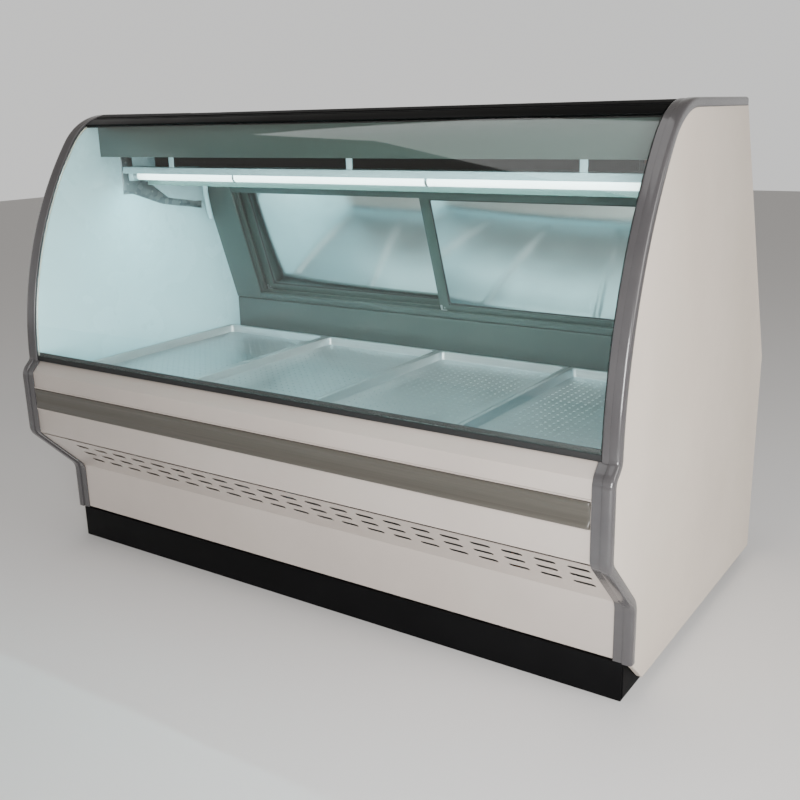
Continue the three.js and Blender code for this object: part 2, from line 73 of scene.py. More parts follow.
# %% Measures and the front curve
MM = 0.001
NOSE_REACH = 148
CASE_HEIGHT = cad_box[1][2] / MM
TRIM_FACE = cad_box[0][1] / MM + NOSE_REACH
END_FACE = cad_box[1][0] / MM
BODY_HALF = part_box("nose_panel")[1][0] / MM
ROOF_END = 625
LOWER_LINE = [(0, 100), (0, 243), (-148, 394), (-148, 590), (-117, 620)]
GENTLE_START, GENTLE_STOP, GENTLE_RADIUS = 2, 37, 1092
GLASS_FOOT = (-117, 633)


def at(x, depth, height):
    """A point in metres from millimetres: across, back from the lower trim face, and up from the floor."""
    return Vector((x * MM, (TRIM_FACE + depth) * MM, height * MM))


def turn(angle):
    """Sine and cosine of an angle in degrees."""
    return math.sin(math.radians(angle)), math.cos(math.radians(angle))


sine, cosine = turn(GENTLE_START)
gentle_centre = (GLASS_FOOT[0] + GENTLE_RADIUS * cosine, GLASS_FOOT[1] - GENTLE_RADIUS * sine)
sine, cosine = turn(GENTLE_STOP)
TIGHT_RADIUS = (CASE_HEIGHT - gentle_centre[1] - GENTLE_RADIUS * sine) / (1 - sine)
tight_centre = (gentle_centre[0] + (TIGHT_RADIUS - GENTLE_RADIUS) * cosine, CASE_HEIGHT - TIGHT_RADIUS)


def curve_point(angle, inset=0):
    """Depth and height of the rounded front at an angle. 2 is the foot of the glass and 90 the flat roof."""
    gentle = angle <= GENTLE_STOP
    centre = gentle_centre if gentle else tight_centre
    radius = (GENTLE_RADIUS if gentle else TIGHT_RADIUS) - inset
    sine, cosine = turn(angle)
    return centre[0] - radius * cosine, centre[1] + radius * sine


def curve_line(start, stop, inset=0, step=1.5):
    count = max(2, math.ceil((stop - start) / step))
    return [curve_point(start + (stop - start) * i / count, inset) for i in range(count + 1)]


print("tight radius", round(TIGHT_RADIUS, 1), "roof", CASE_HEIGHT, "body half", round(BODY_HALF, 1))

# %% [markdown]
# ## Small mesh tools
# Nearly everything here is bent sheet, an extrusion or a moulding: one section carried along a line. So the main
# tool joins rings of points. Other tools inset a line, round its corners, turn a profile and lay a tube.

# %% Mesh tools
def inset_line(points, distance):
    """Moves an open line of (depth, height) points to its right, with mitred corners."""
    normals = []
    for (y0, z0), (y1, z1) in zip(points, points[1:]):
        length = math.hypot(y1 - y0, z1 - z0)
        normals.append(((z1 - z0) / length, (y0 - y1) / length))
    moved = []
    for i, (y, z) in enumerate(points):
        before, after = normals[max(i - 1, 0)], normals[min(i, len(normals) - 1)]
        scale = distance / (1 + before[0] * after[0] + before[1] * after[1])
        moved.append((y + (before[0] + after[0]) * scale, z + (before[1] + after[1]) * scale))
    return moved


def strip(points, near, far):
    return inset_line(points, near) + inset_line(points, far)[::-1]


def rounded(points, radius, steps=6):
    """The same open line with every inner corner rounded."""
    out = [points[0]]
    for before, corner, after in zip(points, points[1:], points[2:]):
        a, b = Vector(before) - Vector(corner), Vector(after) - Vector(corner)
        half = a.angle(b) / 2
        reach = min(radius / math.tan(half), a.length * 0.49, b.length * 0.49)
        start, stop = Vector(corner) + a.normalized() * reach, Vector(corner) + b.normalized() * reach
        for i in range(steps + 1):
            t = i / steps
            mix = start * (1 - t) ** 2 + Vector(corner) * 2 * t * (1 - t) + stop * t**2
            out.append((mix.x, mix.y))
    return out + [points[-1]]


def add_rings(bm, rings, closed=False, caps=True):
    """Joins rings that have the same number of points."""
    made = [[bm.verts.new(p) for p in ring] for ring in rings]
    pairs = list(zip(made, made[1:])) + ([(made[-1], made[0])] if closed else [])
    for ring, following in pairs:
        for i in range(len(ring)):
            j = (i + 1) % len(ring)
            bm.faces.new((ring[i], ring[j], following[j], following[i]))
    if caps and not closed:
        bm.faces.new(made[0][::-1])
        bm.faces.new(made[-1])


def add_extrusion(bm, outline, x0, x1):
    """A closed (depth, height) outline carried straight across the case."""
    add_rings(bm, [[at(x, y, z) for y, z in outline] for x in (x0, x1)])


def add_box(bm, x0, x1, y0, y1, z0, z1):
    add_extrusion(bm, [(y0, z0), (y1, z0), (y1, z1), (y0, z1)], x0, x1)


def add_tube(bm, points, radius, sides=12):
    """A round bar or pipe through points in metres. radius is in millimetres."""
    points = [Vector(p) for p in points]
    last = len(points) - 1
    tangents = [(points[min(i + 1, last)] - points[max(i - 1, 0)]).normalized() for i in range(last + 1)]
    side = tangents[0].orthogonal().normalized()
    rings = []
    for point, tangent in zip(points, tangents):
        side = (side - tangent * side.dot(tangent)).normalized()
        other = tangent.cross(side)
        angles = [2 * math.pi * k / sides for k in range(sides)]
        rings.append([point + (side * math.cos(a) + other * math.sin(a)) * radius * MM for a in angles])
    add_rings(bm, rings)


def add_turned(bm, profile, centre, axis="z", sides=40):
    """Turns (radius, distance along the axis) points, in millimetres, about an axis through centre."""
    turned = {"x": Matrix.Rotation(math.pi / 2, 4, "Y"), "y": Matrix.Rotation(-math.pi / 2, 4, "X"),
              "z": Matrix()}[axis]
    rings = []
    for radius, along in profile:
        ring = []
        for k in range(sides):
            a = 2 * math.pi * k / sides
            ring.append(centre + turned @ (Vector((radius * math.cos(a), radius * math.sin(a), along)) * MM))
        rings.append(ring)
    add_rings(bm, rings)


def smooth_line(points, steps=4):
    """A soft curve through 2-D or 3-D points."""
    points = [Vector(p) for p in points]
    line = []
    for i in range(len(points) - 1):
        p0, p1, p2, p3 = points[max(i - 1, 0)], points[i], points[i + 1], points[min(i + 2, len(points) - 1)]
        for k in range(steps):
            t = k / steps
            a, b = (p2 - p0) * 0.5, (p3 - p1) * 0.5
            t2, t3 = t * t, t * t * t
            line.append(p1 * (2 * t3 - 3 * t2 + 1) + a * (t3 - 2 * t2 + t) + p2 * (3 * t2 - 2 * t3) + b * (t3 - t2))
    return line + [points[-1]]


print("rounded corner has", len(rounded(LOWER_LINE, 24)), "points")

# %% [markdown]
# ## Finishing a piece
# Real sheet has no knife edges: every fold and cut has a small radius that catches a line of light. The bevel is
# made here, in the mesh, and only on edges sharper than a set angle. Flat faces stay flat, and curves shade smooth.
# Each piece then rides on its body, so that doors slide and the glass lifts with their fittings.

# %% Finish, ride and replace
finishes = {}
body_of_node = {
    "front_glass": "front_glass", "glass_hinge_channel": "front_glass", "fan_blade": "fan",
    "light_switch": "switch", "temperature_knob": "knob",
}
for side in ("left", "right"):
    for part in ("frame", "mirror", "pull"):
        body_of_node[f"door_{part}_{side}"] = f"door_{side}"


def finish_mesh(bm, name, bevel=0.0, segments=2, angle=32):
    """Welds, turns faces outwards, rounds the sharp edges by bevel millimetres and shades smooth."""
    bmesh.ops.remove_doubles(bm, verts=bm.verts, dist=0.02 * MM)
    bmesh.ops.recalc_face_normals(bm, faces=bm.faces)
    if bevel:
        sharp = [e for e in bm.edges if len(e.link_faces) == 2 and e.calc_face_angle(0) > math.radians(angle)]
        bmesh.ops.bevel(
            bm, geom=sharp, offset=bevel * MM, segments=segments, profile=0.5, affect="EDGES",
            clamp_overlap=True
        )
    mesh = bpy.data.meshes.new(name)
    bm.to_mesh(mesh)
    bm.free()
    mesh.shade_smooth()
    mesh.set_sharp_from_angle(angle=math.radians(angle))
    return mesh


def add_piece(name, mesh, slot, body="cabinet", replaces=(), material=None):
    """Puts a finished mesh in the scene, on its body and with its finish."""
    mesh.name = name
    if not mesh.materials:
        mesh.materials.append(material or finishes[slot])
    piece = bpy.data.objects.new(name, mesh)
    bpy.context.scene.collection.objects.link(piece)
    if replaces:
        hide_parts(*replaces)
    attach(piece, body)
    return piece


def make(name, slot, build, bevel=0.0, body="cabinet", replaces=(), material=None, angle=32):
    """Builds one piece from a function that fills a bmesh."""
    bm = bmesh.new()
    build(bm)
    return add_piece(name, finish_mesh(bm, name, bevel, angle=angle), slot, body, replaces, material)


def refine(node, slot, bevel, angle=32):
    """A node with rounded edges: its copy is welded, its flat faces are joined, and the copy stands for it."""
    bm = bmesh.new()
    bm.from_mesh(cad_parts[node].data)
    bmesh.ops.remove_doubles(bm, verts=bm.verts, dist=0.02 * MM)
    bmesh.ops.dissolve_limit(
        bm, angle_limit=math.radians(0.5), verts=bm.verts, edges=bm.edges, use_dissolve_boundaries=False
    )
    mesh = finish_mesh(bm, f"{node}_finished", bevel, angle=angle)
    return add_piece(f"{node}_finished", mesh, slot, body_of_node.get(node, "cabinet"), (node,))


# %% [markdown]
# ## Effects that several finishes share
# Paint, rubber and metal all show the same few things: cloudy handling marks, a fine skin texture, rubbed edges,
# dust on what faces up, and drawn or rolled grain. Each is one shader group that puts out a mask or a height.
# The numbers that are the same all over a surface are set on the shader itself, in each material.

# %% Shader groups
def shader_group(name, inputs, outputs):
    tree = bpy.data.node_groups.new(name, "ShaderNodeTree")
    for label, kind, value in inputs:
        socket = tree.interface.new_socket(label, in_out="INPUT", socket_type=kind)
        if value is not None:
            socket.default_value = value
    for label in outputs:
        tree.interface.new_socket(label, in_out="OUTPUT", socket_type="NodeSocketFloat")
    return tree, tree.nodes.new("NodeGroupInput"), tree.nodes.new("NodeGroupOutput")


def add_node(tree, kind, settings=None, links=None, values=None):
    """One node with its settings, its plain values and what is linked into it."""
    node = tree.nodes.new(kind)
    for key, value in (settings or {}).items():
        setattr(node, key, value)
    for key, value in (values or {}).items():
        node.inputs[key].default_value = value
    for key, source in (links or {}).items():
        tree.links.new(source, node.inputs[key])
    return node


def stretch(tree, value, low, high, out_low=0.0, out_high=1.0):
    """Spreads low..high of a value over out_low..out_high."""
    return add_node(
        tree, "ShaderNodeMapRange", links={"Value": value},
        values={"From Min": low, "From Max": high, "To Min": out_low, "To Max": out_high},
    ).outputs["Result"]


VECTOR, NUMBER = "NodeSocketVector", "NodeSocketFloat"

patches, start, end = shader_group("handling_patches", [("Vector", VECTOR, None), ("Scale", NUMBER, 4.0)],
                                   ["Patch"])
broad = add_node(
    patches, "ShaderNodeTexNoise", links={"Vector": start.outputs["Vector"], "Scale": start.outputs["Scale"]},
    values={"Detail": 5.0, "Roughness": 0.6},
)
patches.links.new(stretch(patches, broad.outputs["Fac"], 0.3, 0.7), end.inputs["Patch"])

skin, start, end = shader_group("fine_skin", [("Vector", VECTOR, None), ("Scale", NUMBER, 500.0)], ["Height"])
pebbles = add_node(
    skin, "ShaderNodeTexNoise", links={"Vector": start.outputs["Vector"], "Scale": start.outputs["Scale"]},
    values={"Detail": 2.0, "Roughness": 0.5},
)
skin.links.new(stretch(skin, pebbles.outputs["Fac"], 0.25, 0.75), end.inputs["Height"])

rubbed, start, end = shader_group("rubbed_edges", [("Vector", VECTOR, None), ("Radius", NUMBER, 0.002)],
                                  ["Edge"])
soft = add_node(rubbed, "ShaderNodeBevel", {"samples": 4}, {"Radius": start.outputs["Radius"]})
plain = add_node(rubbed, "ShaderNodeNewGeometry")
likeness = add_node(
    rubbed, "ShaderNodeVectorMath", {"operation": "DOT_PRODUCT"},
    {0: soft.outputs["Normal"], 1: plain.outputs["Normal"]},
)
scuffs = add_node(rubbed, "ShaderNodeTexNoise", links={"Vector": start.outputs["Vector"]},
                  values={"Scale": 90.0, "Detail": 4.0})
edge = stretch(rubbed, likeness.outputs["Value"], 0.97, 0.8)
broken = stretch(rubbed, scuffs.outputs["Fac"], 0.45, 0.62)
product = add_node(rubbed, "ShaderNodeMath", {"operation": "MULTIPLY"}, {0: edge, 1: broken})
rubbed.links.new(product.outputs[0], end.inputs["Edge"])

dusty, start, end = shader_group("settled_dust", [("Vector", VECTOR, None), ("Amount", NUMBER, 0.3)],
                                 ["Dust"])
facing = add_node(dusty, "ShaderNodeSeparateXYZ",
                  links={0: add_node(dusty, "ShaderNodeNewGeometry").outputs["Normal"]})
drift = add_node(dusty, "ShaderNodeTexNoise", links={"Vector": start.outputs["Vector"]},
                 values={"Scale": 22.0, "Detail": 6.0})
upward = stretch(dusty, facing.outputs["Z"], 0.5, 1.0)
clumps = stretch(dusty, drift.outputs["Fac"], 0.3, 0.75)
lying = add_node(dusty, "ShaderNodeMath", {"operation": "MULTIPLY"}, {0: upward, 1: clumps})
share = add_node(dusty, "ShaderNodeMath", {"operation": "MULTIPLY"},
                 {0: lying.outputs[0], 1: start.outputs["Amount"]})
dusty.links.new(share.outputs[0], end.inputs["Dust"])

drawn, start, end = shader_group("drawn_grain", [("Vector", VECTOR, None)], ["Grain"])
long_lines = add_node(drawn, "ShaderNodeVectorMath", {"operation": "MULTIPLY"}, {0: start.outputs["Vector"]})
long_lines.inputs[1].default_value = (3.0, 420.0, 420.0)
lines = add_node(drawn, "ShaderNodeTexNoise", links={"Vector": long_lines.outputs[0]},
                 values={"Scale": 1.0, "Detail": 5.0})
drawn.links.new(stretch(drawn, lines.outputs["Fac"], 0.3, 0.7), end.inputs["Grain"])

spangle, start, end = shader_group("zinc_spangle", [("Vector", VECTOR, None), ("Scale", NUMBER, 45.0)],
                                   ["Crystal"])
cells = add_node(
    spangle, "ShaderNodeTexVoronoi",
    links={"Vector": start.outputs["Vector"], "Scale": start.outputs["Scale"]},
    values={"Randomness": 1.0},
)
tone = add_node(spangle, "ShaderNodeSeparateColor", links={0: cells.outputs["Color"]})
spangle.links.new(tone.outputs[0], end.inputs["Crystal"])
print("shader groups", [group.name for group in bpy.data.node_groups])

# %% [markdown]
# ## The finishes
# Sheet panels have a thin sprayed coat with a very fine skin. The mouldings are glossy extruded plastic. The inside
# is white enamel with a pale cyan tint that is painted lamp light, the server's side grey-green paint, and the unseen
# metalwork is galvanised. Colour values are written as everyday 0-255 colours and turned into the linear light that
# shaders work in.

# %% Build the finishes
def colour(red, green, blue):
    def linear(c):
        c /= 255
        return c / 12.92 if c <= 0.04045 else ((c + 0.055) / 1.055) ** 2.4
    return (linear(red), linear(green), linear(blue), 1.0)


def blend_colours(tree, share, first, second):
    """First and second are colours or sockets; share is a number or a socket."""
    node = tree.nodes.new("ShaderNodeMix")
    node.data_type = "RGBA"
    for index, value in ((0, share), (6, first), (7, second)):
        if isinstance(value, bpy.types.NodeSocket):
            tree.links.new(value, node.inputs[index])
        else:
            node.inputs[index].default_value = value
    return node.outputs[2]


def use_group(tree, group, vector=None, **values):
    node = tree.nodes.new("ShaderNodeGroup")
    node.node_tree = group
    if vector is not None:
        tree.links.new(vector, node.inputs["Vector"])
    for key, value in values.items():
        node.inputs[key].default_value = value
    return node.outputs[0]


def coated(
    slot, base, tint, rough=(0.35, 0.5), metallic=0.0, coat=0.0, coat_roughness=0.08, patch=4.0,
    skin_scale=500.0,
    skin_depth=0.00004, worn=None, worn_radius=0.0015, dust=0.0, grain=False, crystals=0.0, level=0.5,
):
    """A finish from two close colours, a roughness range and whichever effects it shows."""
    material = bpy.data.materials.new(slot)
    material.use_nodes = True
    tree = material.node_tree
    shader = tree.nodes["Principled BSDF"]
    vector = tree.nodes.new("ShaderNodeTexCoord").outputs["Object"]
    cloud = use_group(tree, patches, vector, Scale=patch)
    if crystals:
        shade = use_group(tree, spangle, vector, Scale=crystals)
    elif grain:
        shade = use_group(tree, drawn, vector)
    else:
        shade = cloud
    shown = blend_colours(tree, shade, base, tint)
    if worn:
        edges = use_group(tree, rubbed, vector, Radius=worn_radius)
        shown = blend_colours(tree, edges, shown, worn)
    if dust:
        shown = blend_colours(tree, use_group(tree, dusty, vector, Amount=dust), shown, colour(176, 170, 160))
    tree.links.new(shown, shader.inputs["Base Color"])
    tree.links.new(stretch(tree, cloud, 0, 1, *rough), shader.inputs["Roughness"])
    height = shade if grain or crystals else use_group(tree, skin, vector, Scale=skin_scale)
    bump = add_node(tree, "ShaderNodeBump", links={"Height": height},
                    values={"Strength": 0.6, "Distance": skin_depth})
    tree.links.new(bump.outputs["Normal"], shader.inputs["Normal"])
    shader.inputs["Metallic"].default_value = metallic
    shader.inputs["Coat Weight"].default_value = coat
    shader.inputs["Coat Roughness"].default_value = coat_roughness
    shader.inputs["Specular IOR Level"].default_value = level
    finishes[slot] = material
    return material


coated("cream_panel", colour(214, 203, 190), colour(206, 195, 182), (0.42, 0.55), skin_scale=700,
       skin_depth=0.0001,
       worn=colour(188, 180, 168), patch=2.5)
coated("beige_panel", colour(192, 182, 174), colour(184, 174, 166), (0.3, 0.42), coat=0.25,
       coat_roughness=0.2,
       worn=colour(160, 152, 145), patch=3, dust=0.15)
coated("trim_moulding", colour(80, 78, 79), colour(71, 69, 71), (0.16, 0.27), coat=0.5, coat_roughness=0.05,
       skin_scale=260, skin_depth=0.00003, patch=6)
coated("bumper_rail", colour(82, 78, 71), colour(73, 70, 63), (0.34, 0.5), coat=0.2, coat_roughness=0.2,
       grain=True, skin_depth=0.00002, patch=5)
coated("black_paint", colour(9, 9, 10), colour(14, 14, 15), (0.45, 0.6), skin_scale=600, skin_depth=0.00008,
       worn=colour(40, 40, 42), dust=0.02, patch=5, level=0.07)
coated("black_extrusion", colour(9, 10, 10), colour(15, 16, 16), (0.3, 0.42), grain=True, skin_depth=0.00001,
       worn=colour(50, 52, 54), level=0.05)
coated("black_rubber", colour(17, 18, 19), colour(27, 28, 29), (0.55, 0.75), skin_scale=900,
       skin_depth=0.00005)
coated("black_plastic", colour(20, 20, 22), colour(28, 28, 30), (0.35, 0.5), skin_scale=1100,
       skin_depth=0.00006)
# The liner is white enamel; its pale cyan base colour is painted lamp light, the cast of the case's own lamp.
coated("white_liner", colour(188, 222, 230), colour(180, 215, 223), (0.22, 0.34), coat=0.3,
       coat_roughness=0.12,
       worn=colour(190, 198, 198), patch=3)
coated("grey_green_frame", colour(56, 70, 66), colour(51, 65, 61), (0.3, 0.42), coat=0.2, coat_roughness=0.15,
       worn=colour(150, 160, 156), patch=4, dust=0.12)
coated("stainless", colour(205, 208, 209), colour(190, 194, 196), (0.36, 0.48), metallic=1.0, grain=True,
       skin_depth=0.00001)
coated("zinc_sheet", colour(150, 156, 160), colour(190, 194, 197), (0.35, 0.5), metallic=1.0, crystals=60.0,
       skin_depth=0.00001, dust=0.3)
coated("coil_fins", colour(72, 76, 78), colour(62, 66, 68), (0.35, 0.5), metallic=1.0, grain=True,
       skin_depth=0.00001, dust=0.1)
coated("copper_pipe", colour(196, 120, 78), colour(160, 92, 62), (0.25, 0.5), metallic=1.0, patch=30)
print("finishes", sorted(finishes))

# %% [markdown]
# ## Glass, mirror and lamp
# The front pane is clear glass with a faint green body that shows most at its cut edges. Light from lamps has to
# reach what stands behind it, so rays that only look for a lamp pass straight through. The doors are mirrored
# glass, and the lamp tube glows, a little less towards its ends.

# %% Glass, mirror and lamp finishes
def pane_finish(name, tint, roughness, through):
    material = bpy.data.materials.new(name)
    material.use_nodes = True
    tree = material.node_tree
    shader = tree.nodes["Principled BSDF"]
    vector = tree.nodes.new("ShaderNodeTexCoord").outputs["Object"]
    cloud = use_group(tree, patches, vector, Scale=7.0)
    tree.links.new(stretch(tree, cloud, 0, 1, *roughness), shader.inputs["Roughness"])
    tree.links.new(blend_colours(tree, cloud, tint, tuple(c * 0.985 for c in tint[:3]) + (1.0,)),
                   shader.inputs["Base Color"])
    shader.inputs["Transmission Weight"].default_value = 1.0
    shader.inputs["IOR"].default_value = 1.5
    clear = add_node(tree, "ShaderNodeBsdfTransparent")
    clear.inputs["Color"].default_value = through
    path = tree.nodes.new("ShaderNodeLightPath")
    mix = add_node(tree, "ShaderNodeMixShader", links={
        0: path.outputs["Is Shadow Ray"], 1: shader.outputs["BSDF"], 2: clear.outputs["BSDF"]})
    tree.links.new(mix.outputs[0], tree.nodes["Material Output"].inputs["Surface"])
    return material


finishes["clear_glass"] = pane_finish("clear_glass", colour(244, 252, 249), (0.0, 0.012),
                                      (0.96, 0.99, 0.98, 1.0))
glass_edge = pane_finish("glass_cut_edge", colour(96, 150, 128), (0.15, 0.3), (0.4, 0.6, 0.5, 1.0))

mirror = coated("mirror_glass", colour(232, 238, 238), colour(224, 231, 231), (0.10, 0.16), metallic=1.0,
                patch=5,
                skin_depth=0.000001)
lamp = coated("lamp_glass", colour(250, 252, 252), colour(240, 246, 246), (0.2, 0.3), patch=8)
lamp_tree = lamp.node_tree
along = add_node(lamp_tree, "ShaderNodeSeparateXYZ",
                 links={0: lamp_tree.nodes["Texture Coordinate"].outputs["Object"]})
from_middle = add_node(lamp_tree, "ShaderNodeMath", {"operation": "ABSOLUTE"}, {0: along.outputs["X"]})
fading = stretch(lamp_tree, from_middle.outputs[0], 0.78, 0.84)
glow = blend_colours(lamp_tree, fading, colour(235, 255, 255), colour(190, 205, 200))
lamp_tree.links.new(glow, lamp_tree.nodes["Principled BSDF"].inputs["Emission Color"])
lamp_tree.nodes["Principled BSDF"].inputs["Emission Strength"].default_value = 4.0
print("glass, mirror and lamp ready")

# %% [markdown]
# ## Trees that repeat a shape
# Fins, slots, perforations, louvres and screws are one small shape set down many times. Two node trees do it all.
# The first sets a tile at every point of a grid. The second sets a screw at every vertex it is given, standing out
# along that vertex's own direction, with its cross turned by a seeded random angle.

# %% Build the repeating trees
def new_tree(name, inputs):
    tree = bpy.data.node_groups.new(name, "GeometryNodeTree")
    tree.is_modifier = True
    tree.interface.new_socket("Geometry", in_out="OUTPUT", socket_type="NodeSocketGeometry")
    for label, kind in inputs:
        tree.interface.new_socket(label, in_out="INPUT", socket_type=kind)
    return tree, tree.nodes.new("NodeGroupInput").outputs, tree.nodes.new("NodeGroupOutput").inputs


def run_tree(tree, values, base=None):
    """Evaluates a tree on a mesh and returns the result as a plain mesh."""
    holder = bpy.data.objects.new("holder", base or bpy.data.meshes.new("empty"))
    bpy.context.scene.collection.objects.link(holder)
    modifier = holder.modifiers.new("shape", "NODES")
    modifier.node_group = tree
    for item in tree.interface.items_tree:
        if item.in_out == "INPUT" and item.name in values:
            modifier[item.identifier] = values[item.name]
    graph = bpy.context.evaluated_depsgraph_get()
    mesh = bpy.data.meshes.new_from_object(holder.evaluated_get(graph))
    bpy.data.objects.remove(holder)
    mesh.materials.clear()
    mesh.materials.append(values["Finish"])
    return mesh


def template(name, build):
    """A small mesh object for a tree to repeat. It is removed when the tree has run."""
    bm = bmesh.new()
    build(bm)
    piece = bpy.data.objects.new(name, finish_mesh(bm, name))
    bpy.context.scene.collection.objects.link(piece)
    return piece


OBJECT, WHOLE, GEOMETRY, MATERIAL = "NodeSocketObject", "NodeSocketInt", "NodeSocketGeometry", "NodeSocketMaterial"

tile_tree, given, result = new_tree("tile_grid", [
    ("Tile", OBJECT), ("Columns", WHOLE), ("Rows", WHOLE), ("Column Pitch", NUMBER), ("Row Pitch", NUMBER),
    ("Weld", NUMBER), ("Finish", MATERIAL)])
tile = add_node(tile_tree, "GeometryNodeObjectInfo", links={"Object": given["Tile"]})
column_step = add_node(tile_tree, "ShaderNodeCombineXYZ", links={"X": given["Column Pitch"]})
row_step = add_node(tile_tree, "ShaderNodeCombineXYZ", links={"Y": given["Row Pitch"]})
columns = add_node(tile_tree, "GeometryNodeMeshLine",
                   links={"Count": given["Columns"], "Offset": column_step.outputs[0]})
rows = add_node(tile_tree, "GeometryNodeMeshLine",
                links={"Count": given["Rows"], "Offset": row_step.outputs[0]})
row_of_tiles = add_node(tile_tree, "GeometryNodeInstanceOnPoints", links={
    "Points": columns.outputs["Mesh"], "Instance": tile.outputs["Geometry"]})
all_tiles = add_node(tile_tree, "GeometryNodeInstanceOnPoints", links={
    "Points": rows.outputs["Mesh"], "Instance": row_of_tiles.outputs["Instances"]})
real = add_node(tile_tree, "GeometryNodeRealizeInstances", links={"Geometry": all_tiles.outputs["Instances"]})
welded = add_node(tile_tree, "GeometryNodeMergeByDistance", links={
    "Geometry": real.outputs["Geometry"], "Distance": given["Weld"]})
finished = add_node(tile_tree, "GeometryNodeSetMaterial", links={
    "Geometry": welded.outputs["Geometry"], "Material": given["Finish"]})
tile_tree.links.new(finished.outputs["Geometry"], result["Geometry"])

screw_tree, given, result = new_tree("screw_rows", [
    ("Places", GEOMETRY), ("Screw", OBJECT), ("Size", NUMBER), ("Seed", WHOLE), ("Finish", MATERIAL)])
screw = add_node(screw_tree, "GeometryNodeObjectInfo", links={"Object": given["Screw"]})
outward = add_node(screw_tree, "GeometryNodeInputNamedAttribute", {"data_type": "FLOAT_VECTOR"},
                   values={"Name": "outward"})
stand = add_node(screw_tree, "FunctionNodeAlignRotationToVector", {"axis": "Z"},
                 {"Vector": outward.outputs["Attribute"]})
twist = add_node(screw_tree, "FunctionNodeRandomValue", {"data_type": "FLOAT"}, {"Seed": given["Seed"]},
                 {3: 6.283})
spin = add_node(screw_tree, "FunctionNodeAxisAngleToRotation", links={"Angle": twist.outputs[1]},
                values={"Axis": (0, 0, 1)})
turned = add_node(screw_tree, "FunctionNodeRotateRotation", {"rotation_space": "LOCAL"}, {
    "Rotation": stand.outputs["Rotation"], "Rotate By": spin.outputs["Rotation"]})
heads = add_node(screw_tree, "GeometryNodeInstanceOnPoints", links={
    "Points": given["Places"], "Instance": screw.outputs["Geometry"], "Rotation": turned.outputs["Rotation"],
    "Scale": given["Size"]})
real = add_node(screw_tree, "GeometryNodeRealizeInstances", links={"Geometry": heads.outputs["Instances"]})
finished = add_node(screw_tree, "GeometryNodeSetMaterial", links={
    "Geometry": real.outputs["Geometry"], "Material": given["Finish"]})
screw_tree.links.new(finished.outputs["Geometry"], result["Geometry"])


def tiles(build, columns, rows, column_pitch, row_pitch, slot, weld=0.00001):
    """A grid of one shape, in metres, starting at the origin."""
    shape = template("tile", build)
    mesh = run_tree(tile_tree, {
        "Tile": shape, "Columns": columns, "Rows": rows, "Column Pitch": column_pitch * MM,
        "Row Pitch": row_pitch * MM, "Weld": weld, "Finish": finishes[slot]})
    bpy.data.objects.remove(shape)
    return mesh


def screw_head(bm):
    """A pan head 1 mm in radius and 0.55 high with a cross in it, to be scaled."""
    outline = [(0.6, -0.14), (0.6, 0.14), (0.14, 0.14), (0.14, 0.6), (-0.14, 0.6), (-0.14, 0.14),
               (-0.6, 0.14), (-0.6, -0.14), (-0.14, -0.14), (-0.14, -0.6), (0.14, -0.6), (0.14, -0.14)]
    circle = [(math.cos(2 * math.pi * (k - 0.45) / 12),
               math.sin(2 * math.pi * (k - 0.45) / 12)) for k in range(12)]
    rings = []
    for points, size, height in (
        (circle, 1, -0.1), (circle, 1, 0.25), (circle, 0.82, 0.5), (outline, 1, 0.55), (outline, 0.9, 0.15)
    ):
        rings.append([Vector((x * size, y * size, height)) for x, y in points])
    add_rings(bm, rings)


def screws(name, places, size, slot="zinc_sheet", body="cabinet", seed=1):
    """Screws at (point, outward direction) pairs. size is the head's radius in millimetres."""
    base = bpy.data.meshes.new("places")
    base.from_pydata([point for point, _ in places], [], [])
    base.attributes.new("outward", "FLOAT_VECTOR", "POINT").data.foreach_set(
        "vector", [c for _, direction in places for c in direction])
    head = template("screw", screw_head)
    mesh = run_tree(screw_tree, {"Screw": head, "Size": size * MM, "Seed": seed, "Finish": finishes[slot]},
                    base)
    bpy.data.objects.remove(head)
    return add_piece(name, mesh, slot, body)


print("trees", tile_tree.name, screw_tree.name)

# %% [markdown]
# ## Sheet and extruded pieces
# Most panels are already the right shape in the frame. What they lack is the radius of a real fold, so each one is
# copied, welded and given rounded edges. The list says which finish each takes and how large its radius is.

# %% Round the edges of the sheet pieces
SHEET_PIECES = {
    "black_paint": {"base_frame": 1.5, "kick_plate": 1.0, "hinge_rail": 0.8, "canopy_top": 2.0,
                    "fan_shroud": 0.4,
                    "fan_motor": 1.5},
    # The coil brackets are galvanised, and their darker zinc also stands in as painted shade where they sit against
    # the white liner.
    "zinc_sheet": {"coil_bracket_left": 0.8, "coil_bracket_right": 0.8,
                   "machine_deck": 0.5, "unit_tray": 0.6, "electrical_box": 0.8},
    "cream_panel": {"end_panel_left": 1.2, "end_panel_right": 1.2},
    "white_liner": {"end_liner_left": 0.5, "end_liner_right": 0.5, "insulated_tank": 2.5, "lamp_housing": 0.5,
                    "lamp_holder_left": 2.0, "lamp_holder_right": 2.0, "coil_drain_tube": 0,
                    "tank_drain": 0.6},
    "beige_panel": {"nose_panel": 0.6, "rear_apron": 0.6, "rear_access_panel": 0.5},
    "black_rubber": {"glass_sill_gasket": 1.2},
    "black_extrusion": {"glass_hinge_channel": 0.6},
    "grey_green_frame": {"rear_header": 2.0, "visor_panel": 0.6, "drip_pan": 0.5, "door_jamb_left": 1.2,
                         "door_jamb_right": 1.2, "door_sill_track": 1.0, "door_head_track": 1.0,
                         "door_frame_left": 1.6, "door_frame_right": 1.6},
    "mirror_glass": {"door_mirror_left": 0.5, "door_mirror_right": 0.5},
    "copper_pipe": {"suction_line": 0, "liquid_line": 0},
    "stainless": {"condensate_pan": 1.0},
}
for slot, nodes in SHEET_PIECES.items():
    for node, radius in nodes.items():
        refine(node, slot, radius, angle=50 if radius == 0 else 32)
print("rounded", sum(len(nodes) for nodes in SHEET_PIECES.values()), "pieces")

